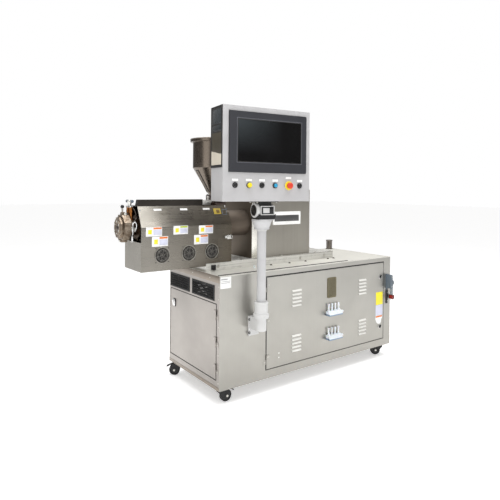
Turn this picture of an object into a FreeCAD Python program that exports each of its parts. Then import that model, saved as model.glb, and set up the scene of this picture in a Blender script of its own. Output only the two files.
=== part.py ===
"""Single-screw plastic extruder on a castered cabinet, with a hopper and an arm-mounted control panel.

Model space while building: X runs along the cabinet from its left end, Y from its front face to the back,
Z up from the floor.  Everything is moved at the end so that the origin is the middle of the footprint of
the whole machine, on the floor.  Millimetres.
"""
import FreeCAD, Part
import math
import os

V = FreeCAD.Vector
X, Y, Z = V(1, 0, 0), V(0, 1, 0), V(0, 0, 1)

# ---- cabinet ----
cab_l = 1720.0            # length of the cabinet
cab_w = 700.0             # depth of the cabinet, front to back
cab_h = 740.0             # height of the cabinet box, its deck included
caster_h = 100.0          # floor to the underside of the cabinet
skin = 3.0                # thickness of the side sheets
deck_t = 4.0              # thickness of the deck plate
tube = 40.0               # side of the square frame tubes
tube_wall = 3.0           # wall of the frame tubes
seam = 3.0                # gap round a door
deck_edge = 27.0          # front border of the deck left outside the worktop sheet
worktop_t = 2.0           # worktop sheet on the deck
worktop_l = 1219.0        # length of the worktop sheet, from the left end
pan_t = 3.0               # floor pan

# ---- doors ----
door_x0, door_x1 = 383.0, 1632.0     # front door opening
door_rise = 60.0                     # cabinet bottom to door opening
door_tall = 637.0                    # height of the front door opening
end_y0, end_y1 = 38.0, cab_w - 17.0  # end door opening
end_rise = 65.0
end_tall = 491.0
door_skin = 2.5
door_fold = 20.0                     # depth of the folded door edges
fold_inset = 12.0                    # folded edges stand in from the door's rim
knuckle_r = 5.0
knuckle_l = 32.0
knuckle_gap = 0.5
hinge_margin = 70.0                  # door end to the outer hinges
pin_l = 25.6                         # hinge pin above the fixed knuckle
pin_bore_l = 28.8
hinge_leaf = 28.0
leaf_t = 2.0
pin_r = 2.5
pin_play = 0.05
latch_r = 17.0
rosette_t = 3.0
wing_l, wing_w, wing_out = 28.0, 6.0, 8.0
end_wing_l, end_wing_w, end_wing_out = 44.0, 8.0, 11.0
cam_w, cam_t = 20.0, 3.0
front_latch_z = (581.0, 166.0)       # above the cabinet bottom
end_latch_z = 456.0
latch_hole_r = 9.0
latch_shaft_r = 8.7
latch_inset = 46.0                   # front latches from the door opening's free side
end_latch_inset = 60.0
cam_gap = 0.3
cam_reach = 24.0
post_gap = 3.0                       # end door's folded edge to the corner post
louvre_l = 88.0
louvre_h = 7.0
louvre_pitch = 27.0
louvre_count = 5
louvre_x = (615.0, 1323.0)           # left edges of the door's louvre groups
louvre_z = (462.0, 138.0)            # their lowest slots above the cabinet bottom
rear_louvre_in = 240.0               # rear groups from the cabinet's ends
rear_louvre_z = (240.0, 560.0)
hood_out = 6.0
hood_root = 5.0                      # height of a hood above its slot, at the sheet
hood_lip = 2.0

# ---- end vents ----
vent_z0, vent_z1 = 574.0, 672.0      # above the cabinet bottom
vent_spans = ((66.0, 355.0), (397.0, cab_w - 15.0))
vent_frame = 9.0
vent_slats = 5
vent_out = 1.5                       # grille frame proud of the sheet
slat_t = 3.0

# ---- door equipment ----
mesh_x0, mesh_x1, mesh_z0, mesh_z1 = 968.0, 1064.0, 478.0, 633.0
mesh_t = 3.0
mesh_corner = 12.0                   # corner radius and border of the plate
mesh_rows = 9
mesh_slot, mesh_deep = 5.0, 2.0
manifold_x0, manifold_x1 = 955.0, 1095.0
manifold_z = (350.0, 168.0)          # lower edges of the two flow banks
manifold_tubes = 4
manifold_tube_r = 6.0
manifold_tube_h = 53.0
manifold_tube_y = 14.0               # tubes' middles out from the door
manifold_block = 32.0
manifold_out = 44.0
manifold_top_out = 26.0
manifold_foot = 10.0                 # height of the block's upright front edge
manifold_knob_r, manifold_knob_l = 8.0, 12.0

# ---- casters ----
king_in_x, king_in_y = 54.0, 64.0    # kingpin from the cabinet's ends and from its faces
caster_rest = {"fl": 180.0, "fr": -36.0, "rl": -36.0, "rr": -25.0}   # resting swivel of each caster, degrees
wheel_r = 40.0
wheel_w = 32.0
wheel_play = 1.0
trail = 38.0
axle_r = 4.0
king_r = 6.0
king_play = 0.05
king_head = 3.0                      # rim of the kingpin's head
fork_t = 3.0
plate_t = 5.0
plate_l, plate_w = 92.0, 72.0
race_r = 24.0
crown_front, crown_back = 20.0, 16.0    # crown ahead of the kingpin and behind the axle
pedal_out = 20.0                     # brake pedal beyond the wheel's edge
pedal_w = 26.0
crown_t = 10.0                       # depth of the swivel race and crown
race_gap = 3.0                       # top plate to the swivelling race
nut_l = 4.0
leg_foot = 13.0                      # half width of a leg at the axle

# ---- machine on the deck ----
chan_x0, chan_x1 = 23.0, 1240.0      # raised base channel
chan_w = 280.0
chan_h = 53.0
chan_wall = 6.0
chan_bolt_x = (43.0, 330.0, 700.0, 1049.0, 1220.0)
chan_bolt_in = 12.0                  # bolts from the channel's edges
chan_bolt_r, chan_bolt_h = 7.0, 5.0
axis_y = 350.0                       # barrel axis
axis_z = 1152.0
gear_x0, gear_l = 420.0, 578.0
gear_front, gear_rear = 120.0, 240.0    # housing before and behind the barrel axis
gear_top = 1400.0
gear_edge = 8.0
gear_cover_r, gear_cover_t = 90.0, 14.0
gear_cap_r, gear_cap_t = 55.0, 16.0
eye_in, eye_r, eye_wire, eye_up = 70.0, 16.0, 5.0, 24.0
name_x0, name_x1, name_z0, name_z1 = 616.0, 893.0, 1134.0, 1232.0    # blank plate
name_rim, name_t = 6.0, 3.0
barrel_r = 55.0
bore_r = 25.0
screw_play = 0.25
root_r = 18.0
barrel_end = -505.0                  # die end of the barrel
flange_r = 70.0
flange_t = 20.0
feed_x0, feed_x1 = 98.0, 240.0       # feed block
feed_side = 150.0
neck_r = 94.0                        # round housing between feed block and gearbox
neck_step = 2.0
seam_l = 14.0                        # ring where the neck meets the gearbox
feed_foot_half, feed_foot_in = 60.0, 12.0
band_t = 22.0                        # heater bands on the barrel
band_l = 118.0
band_gap = 0.3
band_x = (-425.0, -260.0, -95.0)
port_r = 27.0
tip_r, tip_l = 4.0, 24.0             # screw tip
tip_in = 30.0                        # screw root from the barrel's end

# ---- barrel cover ----
cover_x0, cover_x1 = -450.0, 222.0
cover_front, cover_rear = 150.0, 115.0    # cover before and behind the barrel axis
cover_bottom = 878.0
cover_fold = 1156.0
cover_slant_top = 1287.0
slant_front, slant_rear = 84.0, 60.0
cover_t = 2.0
cap_top = 1330.0
cap_top_back, cap_foot_back = 18.0, 41.0    # depth of the hood at its top and at its foot
cap_x1 = 24.0
end_gap = 12.0                       # opening in the right end wall, round the neck
fan_x = (-307.0, -116.0, 61.0)
fan_z = 977.0
fan_r = 46.0
fan_side = 104.0
fan_depth = 32.0
guard_t = 3.0
guard_wire = 2.6
guard_rings = (52.0, 40.0, 28.0, 16.0)
guard_hub_r = 6.0
fan_hub_r, fan_hub_in = 19.0, 8.0
fan_strut_w, fan_strut_t = 6.0, 5.0
wall_top = 1060.0                    # top edge of the cover's left end wall
strut_y, strut_r = 52.0, 7.0         # strut under the barrel's die end

# ---- die end ----
clamp_r = 80.0
clamp_squash = 0.97                  # width of the octagon over its height
ear_half, ear_up, ear_in = 16.0, 14.0, 6.0
foot_half = 18.0
swing_bolt_r, swing_head_r, swing_head_l = 6.0, 11.0, 9.0
ball_y, ball_r = 25.0, 11.0          # ball knob behind the split
clamp_x0, clamp_x1 = -529.0, -483.0
clamp_gap = 0.3
die_x0 = -548.0
die_r = 46.0
cross_long, cross_wide, cross_deep = 56.0, 16.0, 12.0
probe_x = -467.0
probe_r = 12.5
probe_spread = 44.0
probe_top = 1281.0
head_top = 1326.0

# ---- hopper ----
hop_x = 183.0
hop_cone_z0, hop_cyl_z0, hop_rim_z0, hop_top = 1357.0, 1552.0, 1735.0, 1756.0
hop_r = 166.0
hop_rim_r = 185.0
hop_neck_r = 50.0
hop_t = 2.5
throat_flange = 104.0
throat_flange_t = 10.0
throat_wall = 11.0
gate_body_h = 72.0                   # black block under the hopper
blade_w, blade_t, blade_in = 60.0, 8.0, 18.0
blade_z = 1304.0
handle_l, handle_w = 50.0, 44.0
handle_z0, handle_z1 = 1290.0, 1323.0
handle_knob_x, handle_knob_z, handle_knob_r = 117.0, 1344.0, 7.0
sight_angle = 178.0
sight_width = 34.0
sight_gap = 0.3
sight_ribs = 12
sight_part = 0.8                     # length of the strip over the cone's slope

# ---- support arm and control panel ----
arm_x, arm_y = 266.0, -90.0
arm_r = 30.0
bracket_z0, bracket_z1 = 424.0, 556.0
bracket_w = 82.0
bracket_plate = 12.0
bracket_block_up = 50.0              # underside of the block above the foot of the wall plate
bracket_screw_r, bracket_screw_h, bracket_screw_in = 6.0, 5.0, 22.0
spigot_r, spigot_h = 22.0, 40.0
sleeve_over = 18.0                   # sleeve's upper ring
collar_r = 52.0
sleeve_r, sleeve_h = 44.0, 66.0
sleeve_z0 = 577.0
arm_tube_top = 1139.0
swivel_gap = 1.0
head_r = 65.0
head_foot_r = 49.0                   # lower end of the flared head
head_z1 = 1206.0
tilt_z = 1264.0
tilt_r = 42.0
tilt_w0, tilt_w1 = -52.0, 70.0
tilt_ear = 14.0
tilt_pin_r = 10.0
tilt_side_gap = 1.0
knuckle_step = 4.0                   # knuckle smaller than the cheeks
neck_half = 26.0
foot_out, foot_w, foot_t = 20.0, 60.0, 6.0    # plate under the panel
panel_yaw = -8.0
panel_w0, panel_w1 = -334.0, 306.0
panel_d0, panel_d1 = -102.0, 76.0
panel_z0, panel_z1 = 1325.0, 1918.0
panel_round = 6.0
bezel_w0, bezel_w1, bezel_z0, bezel_z1 = -294.0, 272.0, 1508.0, 1884.0
bezel_out = 9.0
screen_w0, screen_w1, screen_z0, screen_z1 = -236.0, 228.0, 1573.0, 1836.0
screen_back = 1.5
button_z = 1427.0
button_w = (-250.0, -153.0, -60.0, 37.0, 225.0)
stop_w = 139.0
button_r = 11.0
button_ring_r = 15.0
button_ring_out = 4.0
button_out = 9.0
button_play = 0.3
button_stem = 12.0                   # stem length behind the panel's face
bore_depth = 30.0
stop_head_t, stop_out, stop_round = 14.0, 26.0, 5.0
stop_ring = 8.0                      # ring beyond the mushroom head
legend_up = 24.0                     # legend above the operator's middle
panel_eye_in, panel_eye_r, panel_eye_h = 60.0, 6.0, 7.0
bezel_round = 10.0
stop_r = 20.0
stop_stem_r = 9.0
legend_w, legend_h, legend_t = 42.0, 15.0, 1.2

# ---- disconnect and post ----
dis_x0, dis_x1 = 1666.0, 1694.0
dis_z0, dis_z1 = 578.0, 690.0
dis_out = 48.0
dis_disc_r, dis_disc_t = 28.0, 8.0
dis_hub_r, dis_hub_t = 17.0, 10.0
dis_hub_y, dis_hub_z = -26.0, 626.0
dis_pin_r, dis_pin_l = 5.0, 19.0
dis_gap = 0.5                        # disc to the turning hub
dis_arm_w, dis_arm_t = 26.0, 8.0
grip_top, grip_end = 108.0, 140.0    # grip below the hub
grip_w, grip_t = 38.0, 25.0
dis_bar_w, dis_bar_out = 14.0, 8.0   # flange bar below the body
dis_bar_z0, dis_bar_z1 = 448.0, 561.0
dis_back_t, dis_back_edge = 3.0, 4.0
post_x, post_y = 1654.0, 656.0
post_r = 28.0
post_h = 84.0
post_cap_h, post_cap_step = 8.0, 3.0

# ---- drive inside the cabinet ----
motor_x, motor_l = 760.0, 420.0
motor_r = 130.0
motor_foot = 24.0
motor_y = 40.0                       # motor axis behind the barrel axis
cowl_step, cowl_l = 12.0, 70.0
nose_step, nose_l = 25.0, 30.0
shaft_r, shaft_l = 19.0, 60.0
pulley_r, pulley_l, pulley_out = 62.0, 46.0, 84.0
foot_l, foot_in, foot_h = 70.0, 30.0, 34.0
back_t = 3.0
back_x0, back_x1 = 1180.0, 1640.0
module_rows = ((90, 60), (70, 45), (60, 30))    # depth and width of the modules in each row
module_h, module_gap, row_pitch = 110.0, 6.0, 190.0
row_z0, row_in = 70.0, 30.0

cab_z0 = caster_h
cab_z1 = caster_h + cab_h
deck_z0 = cab_z1 - deck_t
work_z = cab_z1 + worktop_t
chan_top = work_z + chan_h
inner = skin + tube
door_z0 = cab_z0 + door_rise
door_z1 = door_z0 + door_tall
end_z0 = cab_z0 + end_rise
end_z1 = end_z0 + end_tall


def box(x0, y0, z0, x1, y1, z1):
    """Box between two corners."""
    return Part.makeBox(x1 - x0, y1 - y0, z1 - z0, V(x0, y0, z0))


def rod(x, y, z, axis, r, length):
    """Solid cylinder that starts at a point and runs along an axis."""
    return Part.makeCylinder(r, length, V(x, y, z), axis)


def ring(x, y, z, axis, r_out, r_in, length):
    """Tube that starts at a point and runs along an axis."""
    return rod(x, y, z, axis, r_out, length).cut(rod(x, y, z, axis, r_in, length))


def extrude(points, along):
    """Closed polygon of points pushed along a vector."""
    wire = Part.makePolygon([V(*p) for p in points] + [V(*points[0])])
    return Part.Face(wire).extrude(along)


def turn(points, x, y):
    """Profile of (radius, height) points turned about a vertical axis."""
    wire = Part.makePolygon([V(r, 0, z) for r, z in points] + [V(points[0][0], 0, points[0][1])])
    solid = Part.Face(wire).revolve(V(0, 0, 0), Z, 360)
    solid.translate(V(x, y, 0))
    return solid


def join(first, *rest):
    """Fuse solids into one and drop the seams between flush faces."""
    return first.fuse(list(rest)).removeSplitter() if rest else first


def round_edges(solid, r, keep):
    """Fillet the edges for which keep(edge) is true."""
    return solid.makeFillet(r, [e for e in solid.Edges if keep(e)])


def upright(edge):
    """True for a straight vertical edge."""
    a, b = edge.Vertexes[0].Point, edge.Vertexes[-1].Point
    return abs(a.x - b.x) < 0.01 and abs(a.y - b.y) < 0.01 and abs(a.z - b.z) > 0.01


# ---- cabinet ----
def square_tube(x0, y0, z0, length, axis):
    """Hollow square tube of the frame with a corner at a point."""
    side = {"x": (length, tube, tube), "y": (tube, length, tube), "z": (tube, tube, length)}[axis]
    w = tube_wall
    cut = {"x": (0, w, w), "y": (w, 0, w), "z": (w, w, 0)}[axis]
    outer = box(x0, y0, z0, x0 + side[0], y0 + side[1], z0 + side[2])
    hollow = box(x0 + cut[0], y0 + cut[1], z0 + cut[2],
                 x0 + side[0] - cut[0], y0 + side[1] - cut[1], z0 + side[2] - cut[2])
    return outer.cut(hollow)


def cabinet_frame():
    """Two rectangles of tube joined by corner posts and by a post behind each door edge."""
    x_far, y_far = cab_l - skin - tube, cab_w - skin - tube
    members = []
    for z in (cab_z0, deck_z0 - tube):
        for y in (skin, y_far):
            members.append(square_tube(skin, y, z, cab_l - 2 * skin, "x"))
        for x in (skin, x_far):
            members.append(square_tube(x, inner, z, cab_w - 2 * inner, "y"))
    post_z, post_l = cab_z0 + tube, deck_z0 - cab_z0 - 2 * tube
    for x in (skin, x_far):
        for y in (skin, y_far):
            members.append(square_tube(x, y, post_z, post_l, "z"))
    members.append(square_tube(door_x0 - tube - seam, skin, post_z, post_l, "z"))
    return Part.makeCompound(members)


def deck():
    """Deck plate, and the worktop sheet that stops short of its front edge."""
    plate = box(0, 0, deck_z0, cab_l, cab_w, cab_z1)
    sheet = box(0, deck_edge, cab_z1, worktop_l, cab_w - deck_edge, work_z)
    return Part.makeCompound([plate, sheet])


def hinge_heights(z0, z1):
    """Heights of the three hinges of a door."""
    return [z0 + hinge_margin, (z0 + z1) / 2, z1 - hinge_margin]


def fixed_hinge(x, y, z, leaf_dx, leaf_dy, nx, ny):
    """Lower knuckle with its pin, and the leaf that lies on the skin; nx, ny points out of the face."""
    knuckle = rod(x, y, z - knuckle_l, Z, knuckle_r, knuckle_l)
    pin = rod(x, y, z, Z, pin_r, pin_l)
    return join(knuckle, pin, hinge_plate(x, y, z - knuckle_l, leaf_dx, leaf_dy, nx, ny))


def door_hinge(x, y, z, leaf_dx, leaf_dy, nx, ny):
    """Upper knuckle with its bore, and the leaf that lies on the door."""
    z0 = z + knuckle_gap
    knuckle = rod(x, y, z0, Z, knuckle_r, knuckle_l)
    leaf = join(knuckle, hinge_plate(x, y, z0, leaf_dx, leaf_dy, nx, ny))
    return leaf.cut(rod(x, y, z0, Z, pin_r + pin_play, pin_bore_l))


def hinge_plate(x, y, z, leaf_dx, leaf_dy, nx, ny):
    """Flat leaf from the knuckle's middle along the face."""
    fx, fy = x - nx * knuckle_r, y - ny * knuckle_r
    far_x, far_y = fx + leaf_dx * hinge_leaf, fy + leaf_dy * hinge_leaf
    out_x, out_y = fx + nx * leaf_t, fy + ny * leaf_t
    xs, ys = sorted((fx, far_x, out_x)), sorted((fy, far_y, out_y))
    return box(xs[0], ys[0], z, xs[-1], ys[-1], z + knuckle_l)


def front_skin():
    """Front sheet with the door opening, and the fixed halves of the door's hinges."""
    sheet = box(0, 0, cab_z0, cab_l, skin, deck_z0)
    sheet = sheet.cut(box(door_x0, 0, door_z0, door_x1, skin, door_z1))
    x = door_x0 + seam / 2
    hinges = [fixed_hinge(x, -knuckle_r, z, -1, 0, 0, -1) for z in hinge_heights(door_z0, door_z1)]
    return join(sheet, *hinges)


def end_skin():
    """Left end sheet with its door opening and two vent openings."""
    sheet = box(0, skin, cab_z0, skin, cab_w - skin, deck_z0)
    sheet = sheet.cut(box(0, end_y0, end_z0, skin, end_y1, end_z1))
    for y0, y1 in vent_spans:
        hole = box(0, y0, cab_z0 + vent_z0, skin, y1, cab_z0 + vent_z1)
        sheet = sheet.cut(hole)
    y = end_y0 + seam / 2
    hinges = [fixed_hinge(-knuckle_r, y, z, 0, -1, -1, 0) for z in hinge_heights(end_z0, end_z1)]
    return join(sheet, *hinges)


def rear_skins():
    """Plain right end sheet, and the rear sheet with two groups of louvres near each end."""
    right = box(cab_l - skin, skin, cab_z0, cab_l, cab_w - skin, deck_z0)
    sheet = box(0, cab_w - skin, cab_z0, cab_l, cab_w, deck_z0)
    groups = [(x, z) for x in (rear_louvre_in, cab_l - rear_louvre_in - louvre_l) for z in rear_louvre_z]
    return Part.makeCompound([right, add_louvres(sheet, groups, cab_w - skin, cab_w, 1)])


def add_louvres(sheet, groups, y_in, y_face, out):
    """Cut groups of slots in a sheet and give each slot a pressed hood on the outer face."""
    slots, hoods = [], []
    for x, z in groups:
        for i in range(louvre_count):
            zi = z + i * louvre_pitch
            slots.append(box(x, min(y_in, y_face), zi, x + louvre_l, max(y_in, y_face), zi + louvre_h))
            top, y_lip = zi + louvre_h, y_face + out * hood_out
            lip = [(x, y_face, top), (x, y_face, top + hood_root), (x, y_lip, zi + hood_lip), (x, y_lip, zi)]
            hoods.append(extrude(lip, V(louvre_l, 0, 0)))
    return join(sheet.cut(slots), *hoods)


def floor_pan():
    """Sheet that lies on the lower tubes, notched at the posts."""
    z = cab_z0 + tube
    pan = box(skin, skin, z, cab_l - skin, cab_w - skin, z + pan_t)
    notches = [box(x, y, z, x + tube, y + tube, z + pan_t)
               for x in (skin, cab_l - skin - tube) for y in (skin, cab_w - skin - tube)]
    notches.append(box(door_x0 - tube - seam, skin, z, door_x0 - seam, inner, z + pan_t))
    return pan.cut(notches)


def vent_grille(y0, y1):
    """Black frame with slats that fills one vent opening."""
    z0, z1 = cab_z0 + vent_z0, cab_z0 + vent_z1
    f = vent_frame
    frame = box(-vent_out, y0, z0, skin, y1, z1)
    frame = frame.cut(box(-vent_out, y0 + f, z0 + f, skin, y1 - f, z1 - f))
    slats = []
    step = (z1 - z0 - 2 * f) / vent_slats
    rise = step * 0.6
    for i in range(vent_slats):
        z, y = z0 + f + i * step, y0 + f - 1
        slat = [(skin, y, z), (skin, y, z + slat_t), (-1, y, z + rise), (-1, y, z + rise - slat_t)]
        slats.append(extrude(slat, V(0, y1 - y0 - 2 * f + 2, 0)))
    return join(frame, *slats)


def vent_grilles():
    """Both grilles of the left end."""
    return Part.makeCompound([vent_grille(y0, y1) for y0, y1 in vent_spans])


# ---- doors ----
def front_door():
    """Front door: sheet, folded edges, louvres and the moving halves of its hinges."""
    x0, x1 = door_x0 + seam, door_x1 - seam
    z0, z1 = door_z0 + seam, door_z1 - seam
    sheet = box(x0, 0, z0, x1, door_skin, z1)
    i = fold_inset
    rim = box(x0 + i, door_skin, z0 + i, x1 - i, door_fold, z1 - i)
    rim = rim.cut(box(x0 + i + 2, door_skin, z0 + i + 2, x1 - i - 2, door_fold, z1 - i - 2))
    holes = [rod(x, -1, z, Y, latch_hole_r, door_fold) for x, z in front_latch_places()]
    groups = [(x, cab_z0 + z) for x in louvre_x for z in louvre_z]
    door = add_louvres(join(sheet, rim), groups, door_skin, 0.0, -1).cut(holes)
    hx = door_x0 + seam / 2
    hinges = [door_hinge(hx, -knuckle_r, z, 1, 0, 0, -1) for z in hinge_heights(door_z0, door_z1)]
    return join(door, *hinges)


def front_latch_places():
    """Middles of the two quarter-turn latches near the door's free edge."""
    return [(door_x1 - latch_inset, cab_z0 + z) for z in front_latch_z]


def front_latch(x, z):
    """Quarter-turn latch: rosette, wing, shaft and cam."""
    face = -cam_gap - rosette_t
    rosette = rod(x, face, z, Y, latch_r, rosette_t)
    wing = box(x - wing_w / 2, face - wing_out, z - wing_l / 2, x + wing_w / 2, face, z + wing_l / 2)
    shaft = rod(x, -cam_gap, z, Y, latch_shaft_r, door_fold + cam_t)
    y0, half = door_fold + 1, cam_w / 2
    cam = box(x - half, y0, z - half, x + cam_reach, y0 + cam_t, z + half)
    turned = join(rosette, wing, shaft)
    turned.rotate(V(x, 0, z), Y, 30)
    return join(turned, cam)


def end_door():
    """End door: sheet, folded edges and the moving halves of its hinges."""
    y0, y1 = end_y0 + seam, end_y1 - seam
    z0, z1 = end_z0 + seam, end_z1 - seam
    sheet = box(0, y0, z0, door_skin, y1, z1)
    i = fold_inset
    y_far = cab_w - skin - tube - post_gap
    rim = box(door_skin, y0 + i, z0 + i, door_fold, y_far, z1 - i)
    rim = rim.cut(box(door_skin, y0 + i + 2, z0 + i + 2, door_fold, y_far - 2, z1 - i - 2))
    y, z = end_latch_place()
    door = join(sheet, rim).cut(rod(-1, y, z, X, latch_hole_r, door_fold))
    hy = end_y0 + seam / 2
    hinges = [door_hinge(-knuckle_r, hy, z, 0, 1, -1, 0) for z in hinge_heights(end_z0, end_z1)]
    return join(door, *hinges)


def end_latch_place():
    """Middle of the end door's latch."""
    return end_y1 - end_latch_inset, cab_z0 + end_latch_z


def end_latch():
    """Latch of the end door, with a wing handle and a cam."""
    y, z = end_latch_place()
    face, half = -cam_gap - rosette_t, end_wing_w / 2
    rosette = rod(face, y, z, X, latch_r, rosette_t)
    wing = box(face - end_wing_out, y - wing_l / 2, z - half, face, y - wing_l / 2 + end_wing_l, z + half)
    shaft = rod(-cam_gap, y, z, X, latch_shaft_r, door_fold + cam_t)
    x0, side = door_fold + 1, cam_w / 2
    cam = box(x0, y - side, z - side, x0 + cam_t, y + cam_reach, z + side)
    return join(rosette, wing, shaft, cam)


def mesh_plate():
    """Rounded vent plate on the front door, with rows of slots."""
    z0, z1 = cab_z0 + mesh_z0, cab_z0 + mesh_z1
    c = mesh_corner
    plate = box(mesh_x0, -mesh_t, z0, mesh_x1, 0, z1)
    plate = round_edges(plate, c, lambda e: abs(e.Vertexes[0].Point.y - e.Vertexes[-1].Point.y) > 1)
    slots = []
    pitch = (z1 - z0 - 2 * c) / mesh_rows
    for i in range(mesh_rows):
        z = z0 + c + (i + 0.5) * pitch
        slots.append(box(mesh_x0 + c, -mesh_t, z - mesh_slot / 2,
                         mesh_x1 - c, mesh_deep - mesh_t, z + mesh_slot / 2))
    return plate.cut(slots)


def flow_bank(z_low):
    """Header block with a sloped front, four upright tubes on it and a knob at its right end."""
    z0 = cab_z0 + z_low
    z1 = z0 + manifold_block
    x0, x1 = manifold_x0, manifold_x1
    side = [(x0, 0, z0), (x0, -manifold_out, z0), (x0, -manifold_out, z0 + manifold_foot),
            (x0, -manifold_top_out, z1), (x0, 0, z1)]
    block = extrude(side, V(x1 - x0, 0, 0))
    step = (x1 - x0) / manifold_tubes
    tubes = [rod(x0 + (i + 0.5) * step, -manifold_tube_y, z1, Z, manifold_tube_r, manifold_tube_h)
             for i in range(manifold_tubes)]
    knob = rod(x1, -manifold_out / 2, z0 + manifold_block / 2, X, manifold_knob_r, manifold_knob_l)
    return join(block, knob, *tubes)


# ---- casters ----
def caster_places():
    """Name and kingpin place of each caster."""
    xs, ys = (king_in_x, cab_l - king_in_x), (king_in_y, cab_w - king_in_y)
    return {"fl": (xs[0], ys[0]), "fr": (xs[1], ys[0]), "rl": (xs[0], ys[1]), "rr": (xs[1], ys[1])}


def caster_plate(x, y):
    """Top plate with the upper race and the kingpin."""
    top = cab_z0 - plate_t
    plate = box(x - plate_l / 2, y - plate_w / 2, top, x + plate_l / 2, y + plate_w / 2, cab_z0)
    race = rod(x, y, top - 2, Z, race_r + 2, 2)
    pin_end = caster_crown_z() - 1
    pin = rod(x, y, pin_end, Z, king_r, top - pin_end)
    head = rod(x, y, pin_end - 1.5, Z, king_r + king_head, 3)
    return join(plate, race, pin, head)


def caster_crown_z():
    """Underside of the fork's crown."""
    return cab_z0 - plate_t - race_gap - crown_t


def caster_fork(x, y, rest):
    """Swivel race, crown, two legs, axle and brake pedal, turned to the caster's resting swivel."""
    top, crown_z = cab_z0 - plate_t - race_gap, caster_crown_z()
    half = wheel_w / 2 + wheel_play + fork_t
    back, front, hub_x = x - trail - crown_back, x + crown_front, x - trail
    race = rod(x, y, crown_z, Z, race_r, top - crown_z)
    crown = box(back, y - half, crown_z, front, y + half, crown_z + fork_t)
    legs = []
    for side in (-1, 1):
        y0 = y + side * (half - fork_t / 2) - fork_t / 2
        leg = [(front, y0, crown_z + fork_t), (back, y0, crown_z + fork_t),
               (hub_x - leg_foot, y0, wheel_r - leg_foot), (hub_x + leg_foot, y0, wheel_r - leg_foot),
               (front, y0, crown_z - leg_foot)]
        legs.append(extrude(leg, V(0, fork_t, 0)))
    axle = rod(hub_x, y - half - nut_l, wheel_r, Y, axle_r, 2 * (half + nut_l))
    nuts = [rod(hub_x, y0, wheel_r, Y, axle_r + 3, nut_l) for y0 in (y - half - nut_l, y + half)]
    tip, y0 = hub_x - wheel_r - pedal_out, y - pedal_w / 2
    pedal = extrude([(back, y0, crown_z + fork_t), (back, y0, crown_z - 1),
                     (tip + 3, y0, crown_z - 20), (tip, y0, crown_z - 16)], V(0, pedal_w, 0))
    fork = join(race, crown, axle, pedal, *nuts, *legs)
    hole = rod(x, y, crown_z - 1, Z, king_r + king_play, top - crown_z + 2)
    head_room = rod(x, y, crown_z - 1, Z, king_r + king_head + 0.5, 4.2)
    fork = fork.cut([hole, head_room])
    fork.rotate(V(x, y, 0), Z, rest)
    return fork


def caster_wheel(x, y, rest):
    """Tyre and rim turned about the axle, at the caster's resting swivel."""
    cx, h = x - trail, wheel_w / 2
    profile = [(axle_r + king_play, -h), (13, -h), (15, -h + 4), (wheel_r - 10, -h + 4), (wheel_r - 8, -h),
               (wheel_r - 3, -h), (wheel_r, -h + 4), (wheel_r, h - 4), (wheel_r - 3, h), (wheel_r - 8, h),
               (wheel_r - 10, h - 4), (15, h - 4), (13, h), (axle_r + king_play, h)]
    points = [V(0, d, r) for r, d in profile]
    wheel = Part.Face(Part.makePolygon(points + [points[0]])).revolve(V(0, 0, 0), Y, 360)
    wheel.translate(V(cx, y, wheel_r))
    wheel.rotate(V(x, y, 0), Z, rest)
    return wheel


# ---- drive train ----
def base_channel():
    """Inverted channel that carries the gearbox and the barrel."""
    y0, y1 = axis_y - chan_w / 2, axis_y + chan_w / 2
    outer = box(chan_x0, y0, work_z, chan_x1, y1, chan_top)
    w = chan_wall
    body = outer.cut(box(chan_x0 + w, y0 + w, work_z, chan_x1 - w, y1 - w, chan_top - w))
    bolts = []
    for x in chan_bolt_x:
        bolts.append(rod(x, y0 + chan_bolt_in, chan_top, Z, chan_bolt_r, chan_bolt_h))
        if not gear_x0 < x < gear_x0 + gear_l:
            bolts.append(rod(x, y1 - chan_bolt_in, chan_top, Z, chan_bolt_r, chan_bolt_h))
    return join(body, *bolts)


def gearbox():
    """Gearbox housing with a bearing cover on its right end, two lifting eyes and a breather."""
    y0, y1 = axis_y - gear_front, axis_y + gear_rear
    x1, mid = gear_x0 + gear_l, (y0 + y1) / 2
    body = box(gear_x0, y0, chan_top, x1, y1, gear_top)
    body = round_edges(body, gear_edge, upright)
    rear = rod(x1, axis_y, axis_z, X, gear_cover_r, gear_cover_t)
    cap = rod(x1 + gear_cover_t, axis_y, axis_z, X, gear_cap_r, gear_cap_t)
    eyes = []
    for x in (gear_x0 + eye_in, x1 - eye_in):
        torus = Part.makeTorus(eye_r, eye_wire, V(x, mid, gear_top + eye_up), X)
        eyes.append(join(torus, rod(x, mid, gear_top, Z, 9, 10)))
    breather = rod(x1 - 2 * eye_in, mid + 60, gear_top, Z, 9, 18)
    hood = rod(x1 - 2 * eye_in, mid + 60, gear_top + 18, Z, 14, 14)
    return join(body, rear, cap, breather, hood, *eyes)


def gearbox_plate():
    """Blank plate with a raised rim on the gearbox's front face."""
    y, r = axis_y - gear_front, name_rim
    plate = box(name_x0, y - name_t, name_z0, name_x1, y, name_z1)
    return plate.cut(box(name_x0 + r, y - name_t, name_z0 + r, name_x1 - r, y - name_t + 1, name_z1 - r))


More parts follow.
